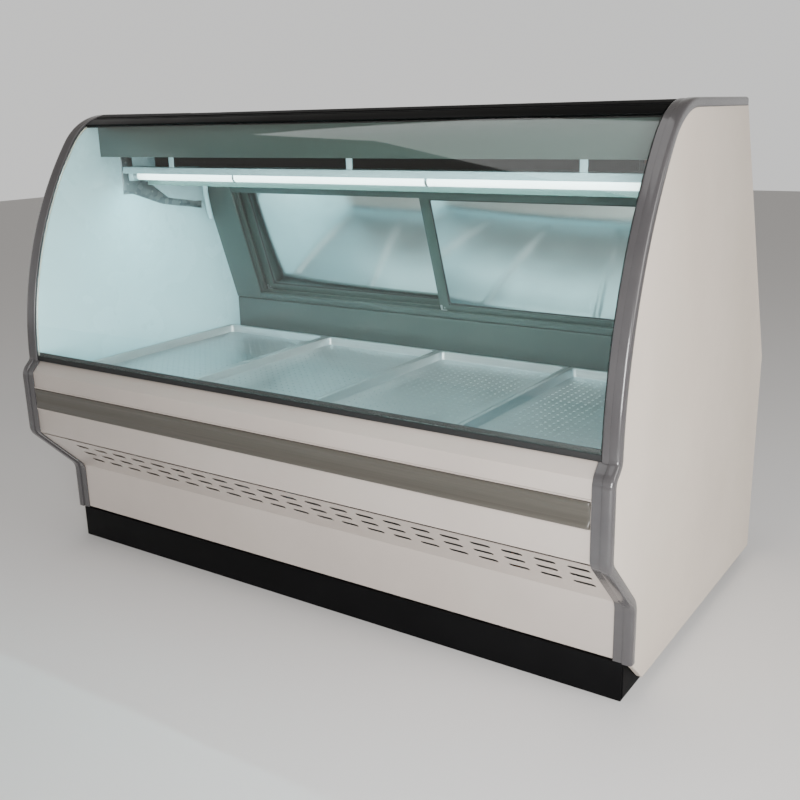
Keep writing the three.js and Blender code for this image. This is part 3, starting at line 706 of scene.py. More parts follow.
# %% [markdown]
# ## End mouldings
# A glossy plastic moulding wraps the front edge of each end panel, from the kick-back up over the roof. It is bent
# warm, so its corners are soft. The shape is one rounded section swept along the front outline. The inner corner of
# the section stays inside the bend's radius, or the moulding would fold into itself.

# %% Sweep the end mouldings
def front_path(radius=46):
    lower = rounded(LOWER_LINE + [GLASS_FOOT], radius)
    return lower[:-1] + curve_line(GENTLE_START, 90) + [(ROOF_END - 2, CASE_HEIGHT)]


def sweep_section(bm, path, section, side):
    """section holds (distance across, inset) points."""
    lines = {inset: inset_line(path, inset) for _, inset in section}
    rings = []
    for i in range(len(path)):
        rings.append([at(side * x, *lines[inset][i]) for x, inset in section])
    add_rings(bm, rings)


MOULDING = [(929, 7.5), (929, 0.8), (929.3, 0.2), (930, 0), (944, 0), (947.6, 0.6), (950.2, 2.1),
            (951.8, 4.4),
            (952.5, 7.6), (952.5, 19.4), (952.1, 20.6), (951.2, 21), (950.5, 20.4), (950.5, 7.5)]
MOULDING_LIP = [(905.2, 7.5), (905.2, 4.6), (905.9, 4), (929.4, 4), (929.4, 7.5)]
for side, word in ((-1, "left"), (1, "right")):
    def moulding(bm, side=side):
        sweep_section(bm, front_path(), MOULDING, side)
        lip = rounded(LOWER_LINE, 46)
        sweep_section(bm, lip, MOULDING_LIP, side)

    make(f"end_moulding_{word}", "trim_moulding", moulding, replaces=(f"end_trim_{word}",), angle=40)
print("moulding follows", len(front_path()), "points")

# %% [markdown]
# ## Rubber beside the glass
# The moulding has an inner lip that carries on beside the glass, and the pane closes against a thin soft bead in
# front of it. Both are the same idea as the moulding: a small crowned section swept along the arc.

# %% Sweep the side seals
SEAL = [(909.9, 7.6), (909.9, 5.6), (910.6, 4.4), (911.8, 4.2), (912.7, 5.0), (912.7, 7.6)]
GLASS_LIP = [(913, 7.6), (913, 2.4), (913.6, 1.1), (915.2, 0.4), (918, 0.1), (929.2, 0.1), (929.2, 7.6)]
GLASS_FOOT_LINE = [(-117, 617)]
for side, word in ((-1, "left"), (1, "right")):
    make(f"glass_side_lip_{word}", "trim_moulding",
         lambda bm, side=side: sweep_section(bm, GLASS_FOOT_LINE + curve_line(2, 83), GLASS_LIP, side),
         angle=50)
    make(f"glass_side_seal_{word}", "black_rubber",
         lambda bm, side=side: sweep_section(bm, GLASS_FOOT_LINE + curve_line(2, 72), SEAL, side), angle=50)
print("side seals on both ends")

# %% [markdown]
# ## The curved front glass
# The pane is 6 mm glass bent on two radii. Its shape is a rule, so a tree makes it: a flat slab whose length stands
# for the angle round the curve and whose height stands for the glass thickness. Each point is put at that angle
# about the gentle or the tight centre. The cut edges get their own deeper green finish afterwards.

# %% Bend the glass
glass_tree, given, result = new_tree("bent_pane", [
    ("Width", NUMBER), ("Start Angle", NUMBER), ("Stop Angle", NUMBER), ("Bend Angle", NUMBER),
    ("Gentle Centre", VECTOR), ("Gentle Radius", NUMBER), ("Tight Centre", VECTOR), ("Tight Radius", NUMBER),
    ("Thickness", NUMBER), ("Finish", MATERIAL)])
slab_size = add_node(glass_tree, "ShaderNodeCombineXYZ", links={"X": given["Width"]},
                     values={"Y": 1.0, "Z": 1.0})
sheet = add_node(glass_tree, "GeometryNodeMeshCube", links={"Size": slab_size.outputs[0]},
                 values={"Vertices X": 9, "Vertices Y": 91, "Vertices Z": 2})
place = add_node(glass_tree, "ShaderNodeSeparateXYZ",
                 links={0: add_node(glass_tree, "GeometryNodeInputPosition").outputs[0]})
angle = add_node(glass_tree, "ShaderNodeMapRange", links={
    "Value": place.outputs["Y"], "To Min": given["Start Angle"], "To Max": given["Stop Angle"]},
    values={"From Min": -0.5, "From Max": 0.5}).outputs["Result"]
tight = add_node(glass_tree, "ShaderNodeMath", {"operation": "GREATER_THAN"},
                 {0: angle, 1: given["Bend Angle"]}).outputs[0]
centre = add_node(glass_tree, "ShaderNodeMix", {"data_type": "VECTOR"}, {
    0: tight, 4: given["Gentle Centre"], 5: given["Tight Centre"]}).outputs[1]
outer_radius = add_node(glass_tree, "ShaderNodeMix", {"data_type": "FLOAT"}, {
    0: tight, 2: given["Gentle Radius"], 3: given["Tight Radius"]}).outputs[0]
below_face = add_node(glass_tree, "ShaderNodeMath", {"operation": "SUBTRACT"}, {1: place.outputs["Z"]},
                      {0: 0.5}).outputs[0]
inset_here = add_node(glass_tree, "ShaderNodeMath", {"operation": "MULTIPLY"},
                      {0: below_face, 1: given["Thickness"]}).outputs[0]
radius = add_node(glass_tree, "ShaderNodeMath", {"operation": "SUBTRACT"},
                  {0: outer_radius, 1: inset_here}).outputs[0]
cosine_node = add_node(glass_tree, "ShaderNodeMath", {"operation": "COSINE"}, {0: angle}).outputs[0]
sine_node = add_node(glass_tree, "ShaderNodeMath", {"operation": "SINE"}, {0: angle}).outputs[0]
forward = add_node(glass_tree, "ShaderNodeMath", {"operation": "MULTIPLY"},
                   {0: radius, 1: cosine_node}).outputs[0]
back = add_node(glass_tree, "ShaderNodeMath", {"operation": "MULTIPLY"}, {0: forward}, {1: -1.0}).outputs[0]
up = add_node(glass_tree, "ShaderNodeMath", {"operation": "MULTIPLY"}, {0: radius, 1: sine_node}).outputs[0]
arm = add_node(glass_tree, "ShaderNodeCombineXYZ",
               links={"X": place.outputs["X"], "Y": back, "Z": up}).outputs[0]
bent_place = add_node(glass_tree, "ShaderNodeVectorMath", {"operation": "ADD"},
                      {0: centre, 1: arm}).outputs[0]
bent = add_node(glass_tree, "GeometryNodeSetPosition",
                links={"Geometry": sheet.outputs["Mesh"], "Position": bent_place})
real = add_node(glass_tree, "GeometryNodeRealizeInstances", links={"Geometry": bent.outputs["Geometry"]})
finished = add_node(glass_tree, "GeometryNodeSetMaterial", links={
    "Geometry": real.outputs["Geometry"], "Material": given["Finish"]})
glass_tree.links.new(finished.outputs["Geometry"], result["Geometry"])

GLASS_HALF, GLASS_INSET, GLASS_THICKNESS, GLASS_STOP = 909.5, 5, 6, 62
pane = run_tree(glass_tree, {
    "Width": 2 * GLASS_HALF * MM, "Start Angle": math.radians(GENTLE_START),
    "Stop Angle": math.radians(GLASS_STOP),
    "Bend Angle": math.radians(GENTLE_STOP), "Gentle Centre": at(0, *gentle_centre),
    "Gentle Radius": (GENTLE_RADIUS - GLASS_INSET) * MM, "Tight Centre": at(0, *tight_centre),
    "Tight Radius": (TIGHT_RADIUS - GLASS_INSET) * MM, "Thickness": GLASS_THICKNESS * MM,
    "Finish": finishes["clear_glass"]})


def on_outer_face(point):
    """True for a point on the outer face of the glass."""
    y, z = point.y / MM - TRIM_FACE, point.z / MM
    for centre_point, radius in ((gentle_centre, GENTLE_RADIUS), (tight_centre, TIGHT_RADIUS)):
        angle_here = math.degrees(math.atan2(z - centre_point[1], centre_point[0] - y))
        if (angle_here <= GENTLE_STOP + 0.01) == (centre_point is gentle_centre):
            return math.hypot(z - centre_point[1],
                              centre_point[0] - y) > radius - GLASS_INSET - GLASS_THICKNESS / 2
    return True


for polygon in pane.polygons:
    outer = {on_outer_face(pane.vertices[i].co) for i in polygon.vertices}
    polygon.material_index = int(len(outer) == 2)
pane.materials.append(glass_edge)
pane.shade_smooth()
pane.set_sharp_from_angle(angle=math.radians(40))
add_piece("curved_front_glass", pane, "clear_glass", "front_glass", ("front_glass",))
print("glass", len(pane.polygons), "faces,", sum(p.material_index for p in pane.polygons), "on the cut edges")

# %% [markdown]
# ## The intake panel
# Below the nose, one bent sheet slopes back to the kick plate. Three staggered rows of slots let room air in to the
# condenser. A slot with round ends is punched in one tile, and the tree lays 21 of them side by side in each row.
# Plain strips fill the ends, so that every row is as long as the case.

# %% Punch and bend the intake panel
PITCH, SLOT_LENGTH, SLOT_HEIGHT, SLOTS, FIRST_SLOT, SHEET = 81, 54, 16, 21, -770, 1.2
SLOT_ROWS = [(78, -23), (122, -19), (166, -11)]
BEND = (8, 246.3)
SLOPE = math.atan2(394 - 243, 148)


def on_slope(x, rise, depth=0.0):
    """A point of the sloping sheet: across, up the slope from the bend, and in from its outer face."""
    sine, cosine = math.sin(SLOPE), math.cos(SLOPE)
    return at(x, BEND[0] - rise * cosine + depth * sine, BEND[1] + rise * sine + depth * cosine)


def slot_tile(bm, low, high):
    """One punched tile, centred on its slot. low and high are its edges along the slope."""
    hole = []
    end = SLOT_LENGTH / 2 - SLOT_HEIGHT / 2
    for centre_x, start_angle in ((end, -90), (-end, 90)):
        for k in range(7):
            sine, cosine = turn(start_angle + 30 * k)
            hole.append((centre_x + cosine * SLOT_HEIGHT / 2, sine * SLOT_HEIGHT / 2))
    half = PITCH / 2
    frame_points = [(end, low), (half * 0.8, low), (half, low), (half, 0), (half, high), (half * 0.8, high),
                    (end, high),
                    (-end, high), (-half * 0.8, high), (-half, high), (-half, 0), (-half, low),
                    (-half * 0.8, low),
                    (-end, low)]
    count = len(hole)
    rings = [[bm.verts.new(Vector((x, y, z)) * MM) for x, y in points]
             for points, z in ((frame_points, 0), (hole, 0), (hole, SHEET), (frame_points, SHEET))]
    for ring, following in zip(rings, rings[1:]):
        for i in range(count):
            j = (i + 1) % count
            bm.faces.new((ring[i], ring[j], following[j], following[i]))


panel = bmesh.new()
for (rise, shift), (low, high) in zip(SLOT_ROWS, ((-22, 22), (-22, 22), (-22, 37.5))):
    row = tiles(lambda bm, low=low, high=high: slot_tile(bm, low, high), SLOTS, 1, PITCH, 1, "beige_panel")
    first = FIRST_SLOT + shift + SLOT_LENGTH / 2
    for vertex in row.vertices:
        x, y, z = vertex.co / MM
        vertex.co = on_slope(first + x, rise + y, z)
    panel.from_mesh(row)
    left, right = first - PITCH / 2, first + PITCH * (SLOTS - 0.5)
    for x0, x1 in ((-BODY_HALF, left), (right, BODY_HALF)):
        corners = [(low, 0), (high, 0), (high, SHEET), (low, SHEET)]
        add_rings(panel, [[on_slope(x, rise + r, d) for r, d in corners] for x in (x0, x1)], caps=False)
outer = rounded([(8, 103), BEND, (BEND[0] - 56 * math.cos(SLOPE), BEND[1] + 56 * math.sin(SLOPE))], 9, 8)
inner = inset_line(outer, SHEET)
add_extrusion(panel, outer + inner[::-1], -BODY_HALF, BODY_HALF)
add_box(panel, -BODY_HALF, BODY_HALF, 9, 30, 103, 105)
add_piece("slotted_intake_panel", finish_mesh(panel, "slotted_intake_panel", angle=30), "beige_panel",
          replaces=("front_intake_panel",))
print("slots", SLOTS * len(SLOT_ROWS), "slope", round(math.degrees(SLOPE), 1), "degrees")

# %% [markdown]
# ## Bumper
# Trolleys and baskets meet the nose first, so a vinyl bumper runs along it. It has a bead at the top and the bottom
# and a shallow hollow between them. Its last few millimetres draw in towards the panel, as a moulded end cap does.

# %% Draw the bumper
BUMPER = smooth_line([
    (-140.6, 476.3), (-144.6, 476.4), (-147.0, 478.6), (-147.5, 482.5), (-146.3, 487), (-144.2, 492),
    (-142.6, 498.5),
    (-142.0, 507), (-142.6, 515.5), (-144.2, 522), (-146.3, 527), (-147.5, 531.5), (-147.0, 535.4),
    (-144.6, 537.6),
    (-140.6, 537.7)], 4)


def bumper(bm):
    rings = []
    for x, draw in ((-903, 0.45), (-901.6, 0.72), (-899, 0.92), (-895, 1), (0, 1), (895, 1), (899, 0.92),
                    (901.6, 0.72), (903, 0.45)):
        rings.append([at(x, -140.6 + (y + 140.6) * draw, 507 + (z - 507) * (0.94 + 0.06 * draw))
                      for y, z in BUMPER])
    add_rings(bm, rings)


make("vinyl_bumper", "bumper_rail", bumper, replaces=("bumper_rail",), angle=50)
def retainer(bm):
    """The rolled edge of the metal strip that holds the bumper shows above and below it."""
    for z, up in ((538.3, 1), (475.7, -1)):
        roll = [(-140.4, z), (-141.6, z), (-142.2, z + 0.8 * up), (-142.2, z + 3.6 * up),
                (-141.6, z + 4.4 * up),
                (-140.4, z + 4.4 * up)]
        add_extrusion(bm, roll, -BODY_HALF + 6, BODY_HALF - 6)


make("bumper_retainer", "beige_panel", retainer, angle=60)
print("bumper section has", len(BUMPER), "points")

# %% [markdown]
# ## Lamp tube
# The fluorescent tube has a glowing glass body and aluminium caps at each end that sit in the holders. Spring clips
# on the trough keep it from sagging.

# %% Turn the lamp tube and its caps
LAMP_DEPTH, LAMP_HEIGHT, LAMP_HALF = 287, 1141, 850
make("lamp_tube_glass", "lamp_glass", lambda bm: add_turned(
    bm, [(0.5, -833), (12.6, -833), (13, -830), (13, 830), (12.6, 833), (0.5, 833)],
    at(0, LAMP_DEPTH, LAMP_HEIGHT), "x", 32), replaces=("lamp_tube",))


def lamp_caps(bm):
    for side in (-1, 1):
        cap = [(12, 829), (13, 830), (13, 846), (12.2, 849), (9, 849.8), (0.5, 849.8)]
        add_turned(bm, [(r, side * a) for r, a in cap], at(0, LAMP_DEPTH, LAMP_HEIGHT), "x", 32)
    for x in (-420, 250):
        clip = [Vector((0, 0))] + [Vector((15 * turn(a)[0], -15 * turn(a)[1])) for a in range(-130, 131, 20)]
        points = [at(x, LAMP_DEPTH + p.x, LAMP_HEIGHT + p.y) for p in clip[1:]]
        rings = []
        for dx in (-4, 4):
            rings.append([p + Vector((dx * MM, 0, 0)) for p in points])
        for i in range(len(points) - 1):
            bm.faces.new([bm.verts.new(p) for p in (rings[0][i], rings[0][i + 1], rings[1][i + 1],
                                                    rings[1][i])])


make("lamp_caps_and_clips", "stainless", lamp_caps)
print("lamp tube", 2 * LAMP_HALF, "mm long")

# %% [markdown]
# ## The painted panel under the doors
# Between the door sill and the deck, the rear wall of the well is faced with a painted panel with a folded top edge,
# so that the server's knocks don't mark the white liner.

# %% Fold the panel under the doors
def rear_facing(bm):
    line = rounded([(776.6, 548), (776.6, 668.4), (800, 675.6)], 5)
    add_extrusion(bm, strip(line, 0, 1.2), -BODY_HALF + 1, BODY_HALF - 1)


make("rear_wall_facing", "grey_green_frame", rear_facing, bevel=0.3)
print("rear facing", 2 * BODY_HALF - 2, "mm long")

# %% [markdown]
# ## Cooling coil and condenser
# Both heat exchangers are the same thing: copper tubes that pass back and forth through hundreds of thin aluminium
# fins. One fin is a plain thin plate, laid down by the grid tree. The tubes and their return bends are swept.

# %% Lay the fins and tubes
def fin_pack(name, node, slot, x0, x1, y0, y1, z0, z1, pitch, end_plate):
    count = int((x1 - x0) / pitch)

    def fin(bm):
        add_rings(bm, [[Vector((x, y, z)) * MM for y, z in ((y0, z0), (y1, z0), (y1, z1), (y0, z1))]
                        for x in (0, 0.25)])

    mesh = tiles(fin, count, 1, pitch, 1, slot, weld=0.000001)
    mesh.transform(Matrix.Translation(at(x0, 0, 0)))
    bm = bmesh.new()
    bm.from_mesh(mesh)
    for x in (x0 - 0.1, x1 - 2.4):
        add_box(bm, x, x + 2.5, y0 - 6, y1 + 4, z0 - end_plate[0], z1 + end_plate[1])
    return add_piece(name, finish_mesh(bm, name), slot, replaces=(node,))


def tube_bank(name, depths, heights, x0, x1, radius, bend):
    """Straight tubes with return bends between neighbours at both ends."""
    def build(bm):
        for row, z in enumerate(heights):
            for y in depths:
                add_tube(bm, [at(x0 - 6, y, z), at(x1 + 6, y, z)], radius, 10)
            for i, (y, following) in enumerate(zip(depths, depths[1:])):
                side, x = ((-1, x0 - 6), (1, x1 + 6))[(i + row) % 2]
                arc = []
                for k in range(9):
                    sine, cosine = turn(22.5 * k)
                    arc.append(at(x + side * bend * sine, (y + following) / 2 - cosine * (following - y) / 2,
                                  z))
                add_tube(bm, arc, radius, 10)
    make(name, "copper_pipe", build, angle=60)


coil_pack = fin_pack("cooling_fins", "cooling_coil", "coil_fins", -800, 800, 332, 546, 1168, 1262, 4.2,
                     (6, 33))
tube_bank("cooling_tubes", [360, 400, 440, 480, 520], [1188, 1215, 1242], -800, 800, 4.8, 14)
fin_pack("condenser_fins", "condenser_coil", "coil_fins", 130, 610, 60, 102, 116, 368, 2.6, (0, 2))
tube_bank("condenser_tubes", [70, 92], [140, 172, 204, 236, 268, 300, 332], 130, 610, 4.4, 9)
print("fins", len(coil_pack.data.polygons))

# %% [markdown]
# ## Deck pans
# Food lies on four stainless pans that lift out for cleaning. Each is pressed from one sheet: a rolled rim, soft
# corners, a shallow well and a floor full of drain holes. The walls are rounded rectangles joined from level to
# level, over the top and back underneath. The floor is a tile with one hole, laid in a grid.

# %% Press and perforate the deck pans
def rounded_rectangle(x0, x1, y0, y1, radius, z, steps=5):
    ring = []
    for cx, cy, start_angle in ((x1 - radius, y1 - radius, 0), (x0 + radius, y1 - radius, 90),
                                (x0 + radius, y0 + radius, 180), (x1 - radius, y0 + radius, 270)):
        for k in range(steps + 1):
            sine, cosine = turn(start_angle + 90 * k / steps)
            ring.append(at(cx + radius * cosine, cy + radius * sine, z))
    return ring


HOLE_PITCH, HOLE_RADIUS, PAN_METAL = 24, 3.6, 1.2


def hole_tile(bm):
    """A square of sheet with an eight-sided hole through it."""
    square = [(0.5, -0.5), (0.5, 0), (0.5, 0.5), (0, 0.5), (-0.5, 0.5), (-0.5, 0), (-0.5, -0.5), (0, -0.5)]
    hole = [(turn(a)[1], turn(a)[0]) for a in range(-45, 315, 45)]
    rings = []
    for points, size, z in ((square, HOLE_PITCH, 0), (hole, HOLE_RADIUS, 0),
                            (hole, HOLE_RADIUS * 0.9, -PAN_METAL),
                            (square, HOLE_PITCH, -PAN_METAL)):
        rings.append([bm.verts.new(Vector((x * size, y * size, z)) * MM) for x, y in points])
    for ring, following in zip(rings, rings[1:]):
        for i in range(8):
            j = (i + 1) % 8
            bm.faces.new((ring[i], ring[j], following[j], following[i]))


PAN_FLOOR = 549
for number in range(1, 5):
    node = f"deck_pan_{number}"
    low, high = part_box(node)
    x0, x1 = low[0] / MM, high[0] / MM
    y0, y1, top = low[1] / MM - TRIM_FACE, high[1] / MM - TRIM_FACE, high[2] / MM
    bottom = low[2] / MM
    across, along_pan = int((x1 - x0 - 50) / HOLE_PITCH), int((y1 - y0 - 50) / HOLE_PITCH)
    field = (x0 + x1 - across * HOLE_PITCH) / 2, (y0 + y1 - along_pan * HOLE_PITCH) / 2
    floor_mesh = tiles(hole_tile, across, along_pan, HOLE_PITCH, HOLE_PITCH, "stainless")
    floor_mesh.transform(Matrix.Translation(at(field[0] + HOLE_PITCH / 2, field[1] + HOLE_PITCH / 2,
                                               PAN_FLOOR)))
    bm = bmesh.new()
    bm.from_mesh(floor_mesh)
    edge = field[0] - x0, field[1] - y0
    levels = [(edge, 0.01, PAN_FLOOR), (18, 14, PAN_FLOOR), (15.5, 14, PAN_FLOOR + 0.9),
              (14.2, 14, PAN_FLOOR + 3.2),
              (13.4, 14, top - 3.4), (12.2, 13, top - 0.9), (10, 11, top), (2.6, 5, top),
              (0.8, 4.2, top - 0.8),
              (0, 4, top - 2.6), (0, 4, bottom), (1.2, 3, bottom), (1.2, 3, top - 2.6), (2.8, 4, top - 1.4),
              (10.6, 11, top - 1.4), (12.2, 13, top - 2.4), (15, 15, PAN_FLOOR),
              (18, 14, PAN_FLOOR - PAN_METAL),
              (edge, 0.01, PAN_FLOOR - PAN_METAL)]
    rings = []
    for inset, corner, z in levels:
        dx, dy = inset if isinstance(inset, tuple) else (inset, inset)
        rings.append(rounded_rectangle(x0 + dx, x1 - dx, y0 + dy, y1 - dy, corner, z))
    add_rings(bm, rings, caps=False)
    add_piece(f"perforated_{node}", finish_mesh(bm, node, angle=35), "stainless", replaces=(node,))
print("holes in each pan", across * along_pan)

# %% [markdown]
# ## Sliding mirror doors
# The doors lean with their frame, so their fittings are laid out flat in the frame's own plane and then tipped by
# the same angle. Each door has a black glazing bead round its mirror on both faces, small rollers in the bottom
# corners and a recessed pull on the server's side.

# %% Fit the doors
LEAN = 18
FRAME_FOOT = (775, 672)


def tipped(x, through, up):
    """A point of the leaning frame: across, through its depth towards the server, and up along it."""
    sine, cosine = turn(LEAN)
    return at(x, FRAME_FOOT[0] + through * cosine - up * sine, FRAME_FOOT[1] + through * sine + up * cosine)


def bead_loop(bm, x0, x1, s0, s1, face, outward, width=4.5, proud=1.6):
    """A rounded bead round a rectangle on one face of a door."""
    rings = []
    for inset, height in ((0, -1.5), (0, proud * 0.5), (width * 0.3, proud), (width * 0.7, proud),
                          (width, 0.2),
                          (width, -1.5)):
        ring, radius = [], 7 - inset * 0.6
        left, right = x0 + inset + radius, x1 - inset - radius
        bottom, top = s0 + inset + radius, s1 - inset - radius
        for cx, cs, start_angle in ((right, top, 0), (left, top, 90), (left, bottom, 180),
                                    (right, bottom, 270)):
            for k in range(6):
                sine, cosine = turn(start_angle + 18 * k)
                ring.append(tipped(cx + radius * cosine, face + outward * height, cs + radius * sine))
        rings.append(ring)
    add_rings(bm, rings, closed=True, caps=False)


DOORS = {"left": (-789, 40, 18), "right": (-26, 12, 785)}
DOOR_WIDTH, DOOR_FOOT, DOOR_TOP, STILE, RAIL, THICK = 815, 14, 428, 34, 27, 16
for side, (x, n, pull) in DOORS.items():
    def beads(bm, x=x, n=n):
        for face, outward in ((n + 4.2, -1), (n + THICK - 4.2, 1)):
            bead_loop(bm, x + STILE - 0.5, x + DOOR_WIDTH - STILE + 0.5, DOOR_FOOT + RAIL - 0.5,
                      DOOR_TOP - RAIL + 0.5, face, outward)

    make(f"door_glazing_bead_{side}", "black_rubber", beads, body=f"door_{side}", angle=50)

    def pull_shape(bm, x=x, n=n, pull=pull):
        middle, half_width = x + pull + 6, 6
        rings = []
        for s, wide, proud in ((150, 0.5, 1.5), (151, 0.85, 3.5), (154, 1, 6), (160, 1, 7), (175, 0.82, 5.2),
                               (190, 0.74, 4.4),
                               (205, 0.72, 4.2), (220, 0.74, 4.4), (235, 0.82, 5.2), (250, 1, 7), (256, 1, 6),
                               (259, 0.85, 3.5), (260, 0.5, 1.5)):
            base = n + THICK + 0.45
            ring = [(-1, 0), (-1, 0.55), (-0.7, 0.9), (0, 1), (0.7, 0.9), (1, 0.55), (1, 0)]
            rings.append([tipped(middle + half_width * wide * a, base + proud * b, s) for a, b in ring])
        add_rings(bm, rings)

    make(f"door_pull_{side}_shaped", "stainless", pull_shape, body=f"door_{side}",
         replaces=(f"door_pull_{side}",), angle=50)

    def corner_fittings(bm, x=x, n=n):
        for cx in (x + 3, x + DOOR_WIDTH - 25):
            corners = [(0, 0), (22, 0), (22, 7), (7, 7), (7, 22), (0, 22)]
            if cx > x + 100:
                corners = [(22 - a, b) for a, b in corners][::-1]
            rings = [[tipped(cx + a, n - 0.2 - d, DOOR_FOOT + 3 + b) for a, b in corners] for d in (0, 1)]
            add_rings(bm, rings)
        for cx in (x + 60, x + DOOR_WIDTH - 60):
            rings = []
            for radius, t in ((1, 4), (6.4, 4), (7, 5), (5.6, 8), (7, 11), (6.4, 12), (1, 12)):
                rings.append([tipped(cx + radius * turn(a)[1], n + t,
                                     12 + 1.4 + radius * turn(a)[0])
                              for a in range(0, 360, 20)])
            add_rings(bm, rings)

    make(f"door_corner_fittings_{side}", "stainless", corner_fittings, body=f"door_{side}", angle=40)
    facing = (tipped(0, -1, 0) - tipped(0, 0, 0)).normalized()
    places = []
    for cx in (x + 17, x + DOOR_WIDTH - 17):
        for s in (DOOR_FOOT + 16, DOOR_TOP - 16):
            places.append((tipped(cx, n, s), facing))
            places.append((tipped(cx, n + THICK, s), -facing))
    screws(f"door_screws_{side}", places, 3.2, body=f"door_{side}", seed=7)


def jamb_strips(bm):
    for side in (-1, 1):
        for n in (4, 33, 62):
            rings = []
            for s in (22.5, 409.5):
                section = [(-0.6, 0), (-2.4, 1.0), (-2.8, 3), (-2.4, 5), (-0.6, 6), (0.5, 6), (0.5, 0)]
                rings.append([tipped(side * (790 + a), n + b, s) for a, b in section])
            add_rings(bm, rings)


make("jamb_brush_strips", "black_rubber", jamb_strips, angle=50)
print("two doors fitted, each", DOOR_WIDTH, "mm wide")

# %% [markdown]
# ## The server's side
# The lower rear panel breathes through louvres: short cuts whose upper lip is pressed outwards like an awning. One
# hood is shaped from a quarter of an arch and laid in three blocks of eight. Screws hold the panel on.

# %% Press the louvres and set the rear screws
REAR_SKIN = 925


def louvre_hood(bm):
    """An awning 200 mm long over its cut, in the grid's own plane: x across, y up, z outwards."""
    rings = []
    for x, size in ((0, 0.02), (2, 0.45), (6, 0.85), (12, 1), (188, 1), (194, 0.85), (198, 0.45),
                    (200, 0.02)):
        arch = [(9.5, 0), (9.2, 2.2), (7.6, 4.4), (5, 5.8), (1.4, 6.4), (1.4, 5.6), (4.8, 5), (7, 3.8),
                (8.4, 1.8), (8.6, 0)]
        rings.append([Vector((x, y, z * size)) * MM for y, z in arch])
    add_rings(bm, rings)


hoods = bmesh.new()
for column in range(3):
    block = tiles(louvre_hood, 1, 8, 1, 26, "beige_panel", weld=0.000001)
    for vertex in block.vertices:
        x, y, z = vertex.co / MM
        vertex.co = at(-330 + 230 * column + x, REAR_SKIN + z, 160 + y)
    hoods.from_mesh(block)
add_piece("rear_louvre_hoods", finish_mesh(hoods, "rear_louvre_hoods", angle=40), "beige_panel")

outwards = Vector((0, 1, 0))
rear = [(at(x, REAR_SKIN, z), outwards) for x in range(-880, 881, 220) for z in (118, 388)]
rear += [(at(x, REAR_SKIN, z), outwards) for x in range(-880, 881, 352) for z in (418, 628)]
screws("rear_panel_screws", rear, 4.0, seed=3)


def slab(bm, x0, x1, z0, z1, proud):
    add_box(bm, x0, x1, REAR_SKIN, REAR_SKIN + proud, z0, z1)


def switch_plate(bm):
    for x0, x1, z0, z1 in ((693, 697.5, 531, 579), (724.5, 729, 531, 579), (697.5, 724.5, 531, 536.6),
                           (697.5, 724.5, 573.4, 579)):
        slab(bm, x0, x1, z0, z1, 2.4)


make("switch_surround", "black_plastic", switch_plate, bevel=0.5)
refine("light_switch", "black_plastic", 0.8)


def knob(bm):
    profile = [(0.5, 1), (15.5, 1), (17, 1.6), (17, 4), (16, 6.4), (14.6, 8.2), (12, 9.4), (0.5, 9.6)]
    sides, rings = 72, []
    for radius, away in profile:
        ring = []
        for k in range(sides):
            grip = 0.35 if k % 4 < 2 and radius > 13 and 1.2 < away < 7 else 0
            sine, cosine = turn(360 * k / sides)
            ring.append(at(790 + (radius - grip) * cosine, REAR_SKIN + away, 555 + (radius - grip) * sine))
        rings.append(ring)
    add_rings(bm, rings)
    bar = []
    for away, wide, tall in ((8.4, 4, 14.6), (13.5, 3.6, 14.2), (15.4, 2.6, 13.2), (15.8, 1.4, 12)):
        bar.append([at(790 + wide * a, REAR_SKIN + away, 555 + tall * b)
                    for a, b in ((-1, -0.92), (-0.6, -1), (0.6, -1), (1, -0.92), (1, 0.92), (0.6, 1),
                                 (-0.6, 1), (-1, 0.92))])
    add_rings(bm, bar)


make("ribbed_knob", "black_plastic", knob, body="knob", replaces=("temperature_knob",), angle=35)


def gland(bm):
    nut = [[at(-820 + r * turn(60 * k)[1], REAR_SKIN + y, 150 + r * turn(60 * k)[0]) for k in range(6)]
           for r, y in ((12.6, 0.5), (13.9, 1.2), (13.9, 5.6), (12.6, 6.3))]
    add_rings(bm, nut)
    add_turned(bm,
               [(6, 6), (11.5, 6), (12, 7), (11.6, 11), (9.6, 14.2), (7.4, 15.2), (6.2, 15), (6, 13), (6, 6)],
               at(-820, REAR_SKIN, 150), "y", 36)


make("cable_gland", "black_plastic", gland, replaces=("power_gland",), angle=35)
print("screws on the rear", len(rear))

# %% [markdown]
# ## Condensing unit
# Under the tank sits a small condensing unit: a welded compressor on rubber feet, a fan with a wire guard, and the
# condenser that the room air is drawn through. The compressor's shell is turned from a soft profile with its weld
# seam standing proud. The fan's blades are curved and twisted, because a flat blade would only stir the air.

# %% Shape the compressor and the fan
COMPRESSOR, DECK = (370, 420), 104.2


def compressor(bm):
    profile = smooth_line([(30, 14), (86, 15), (93, 24), (95, 50), (96, 96), (96, 100)], 4)
    profile += [Vector(p) for p in ((99.5, 100.5), (100.5, 102), (100.5, 106), (99.5, 107.5), (96, 108))]
    profile += smooth_line([(95, 112), (93, 150), (84, 180), (62, 202), (30, 212), (1, 214)], 4)
    add_turned(bm, [(p[0], p[1] + DECK) for p in profile], at(*COMPRESSOR, 0), "z", 56)
    add_turned(bm, [(26, 206), (27, 214), (24, 217), (1, 217.6)], at(*COMPRESSOR, DECK), "z", 24)
    for k in range(4):
        sine, cosine = turn(45 + 90 * k)
        foot = at(COMPRESSOR[0] + 84 * cosine, COMPRESSOR[1] + 84 * sine, DECK)
        add_turned(bm, [(1, 0), (15, 0), (16, 3), (12, 6), (15, 9), (14, 13), (5, 14), (5, 19), (1, 19)],
                   foot, "z", 20)


def terminal_cover(bm):
    add_box(bm, 334, 406, 514, 540, DECK + 70, DECK + 140)


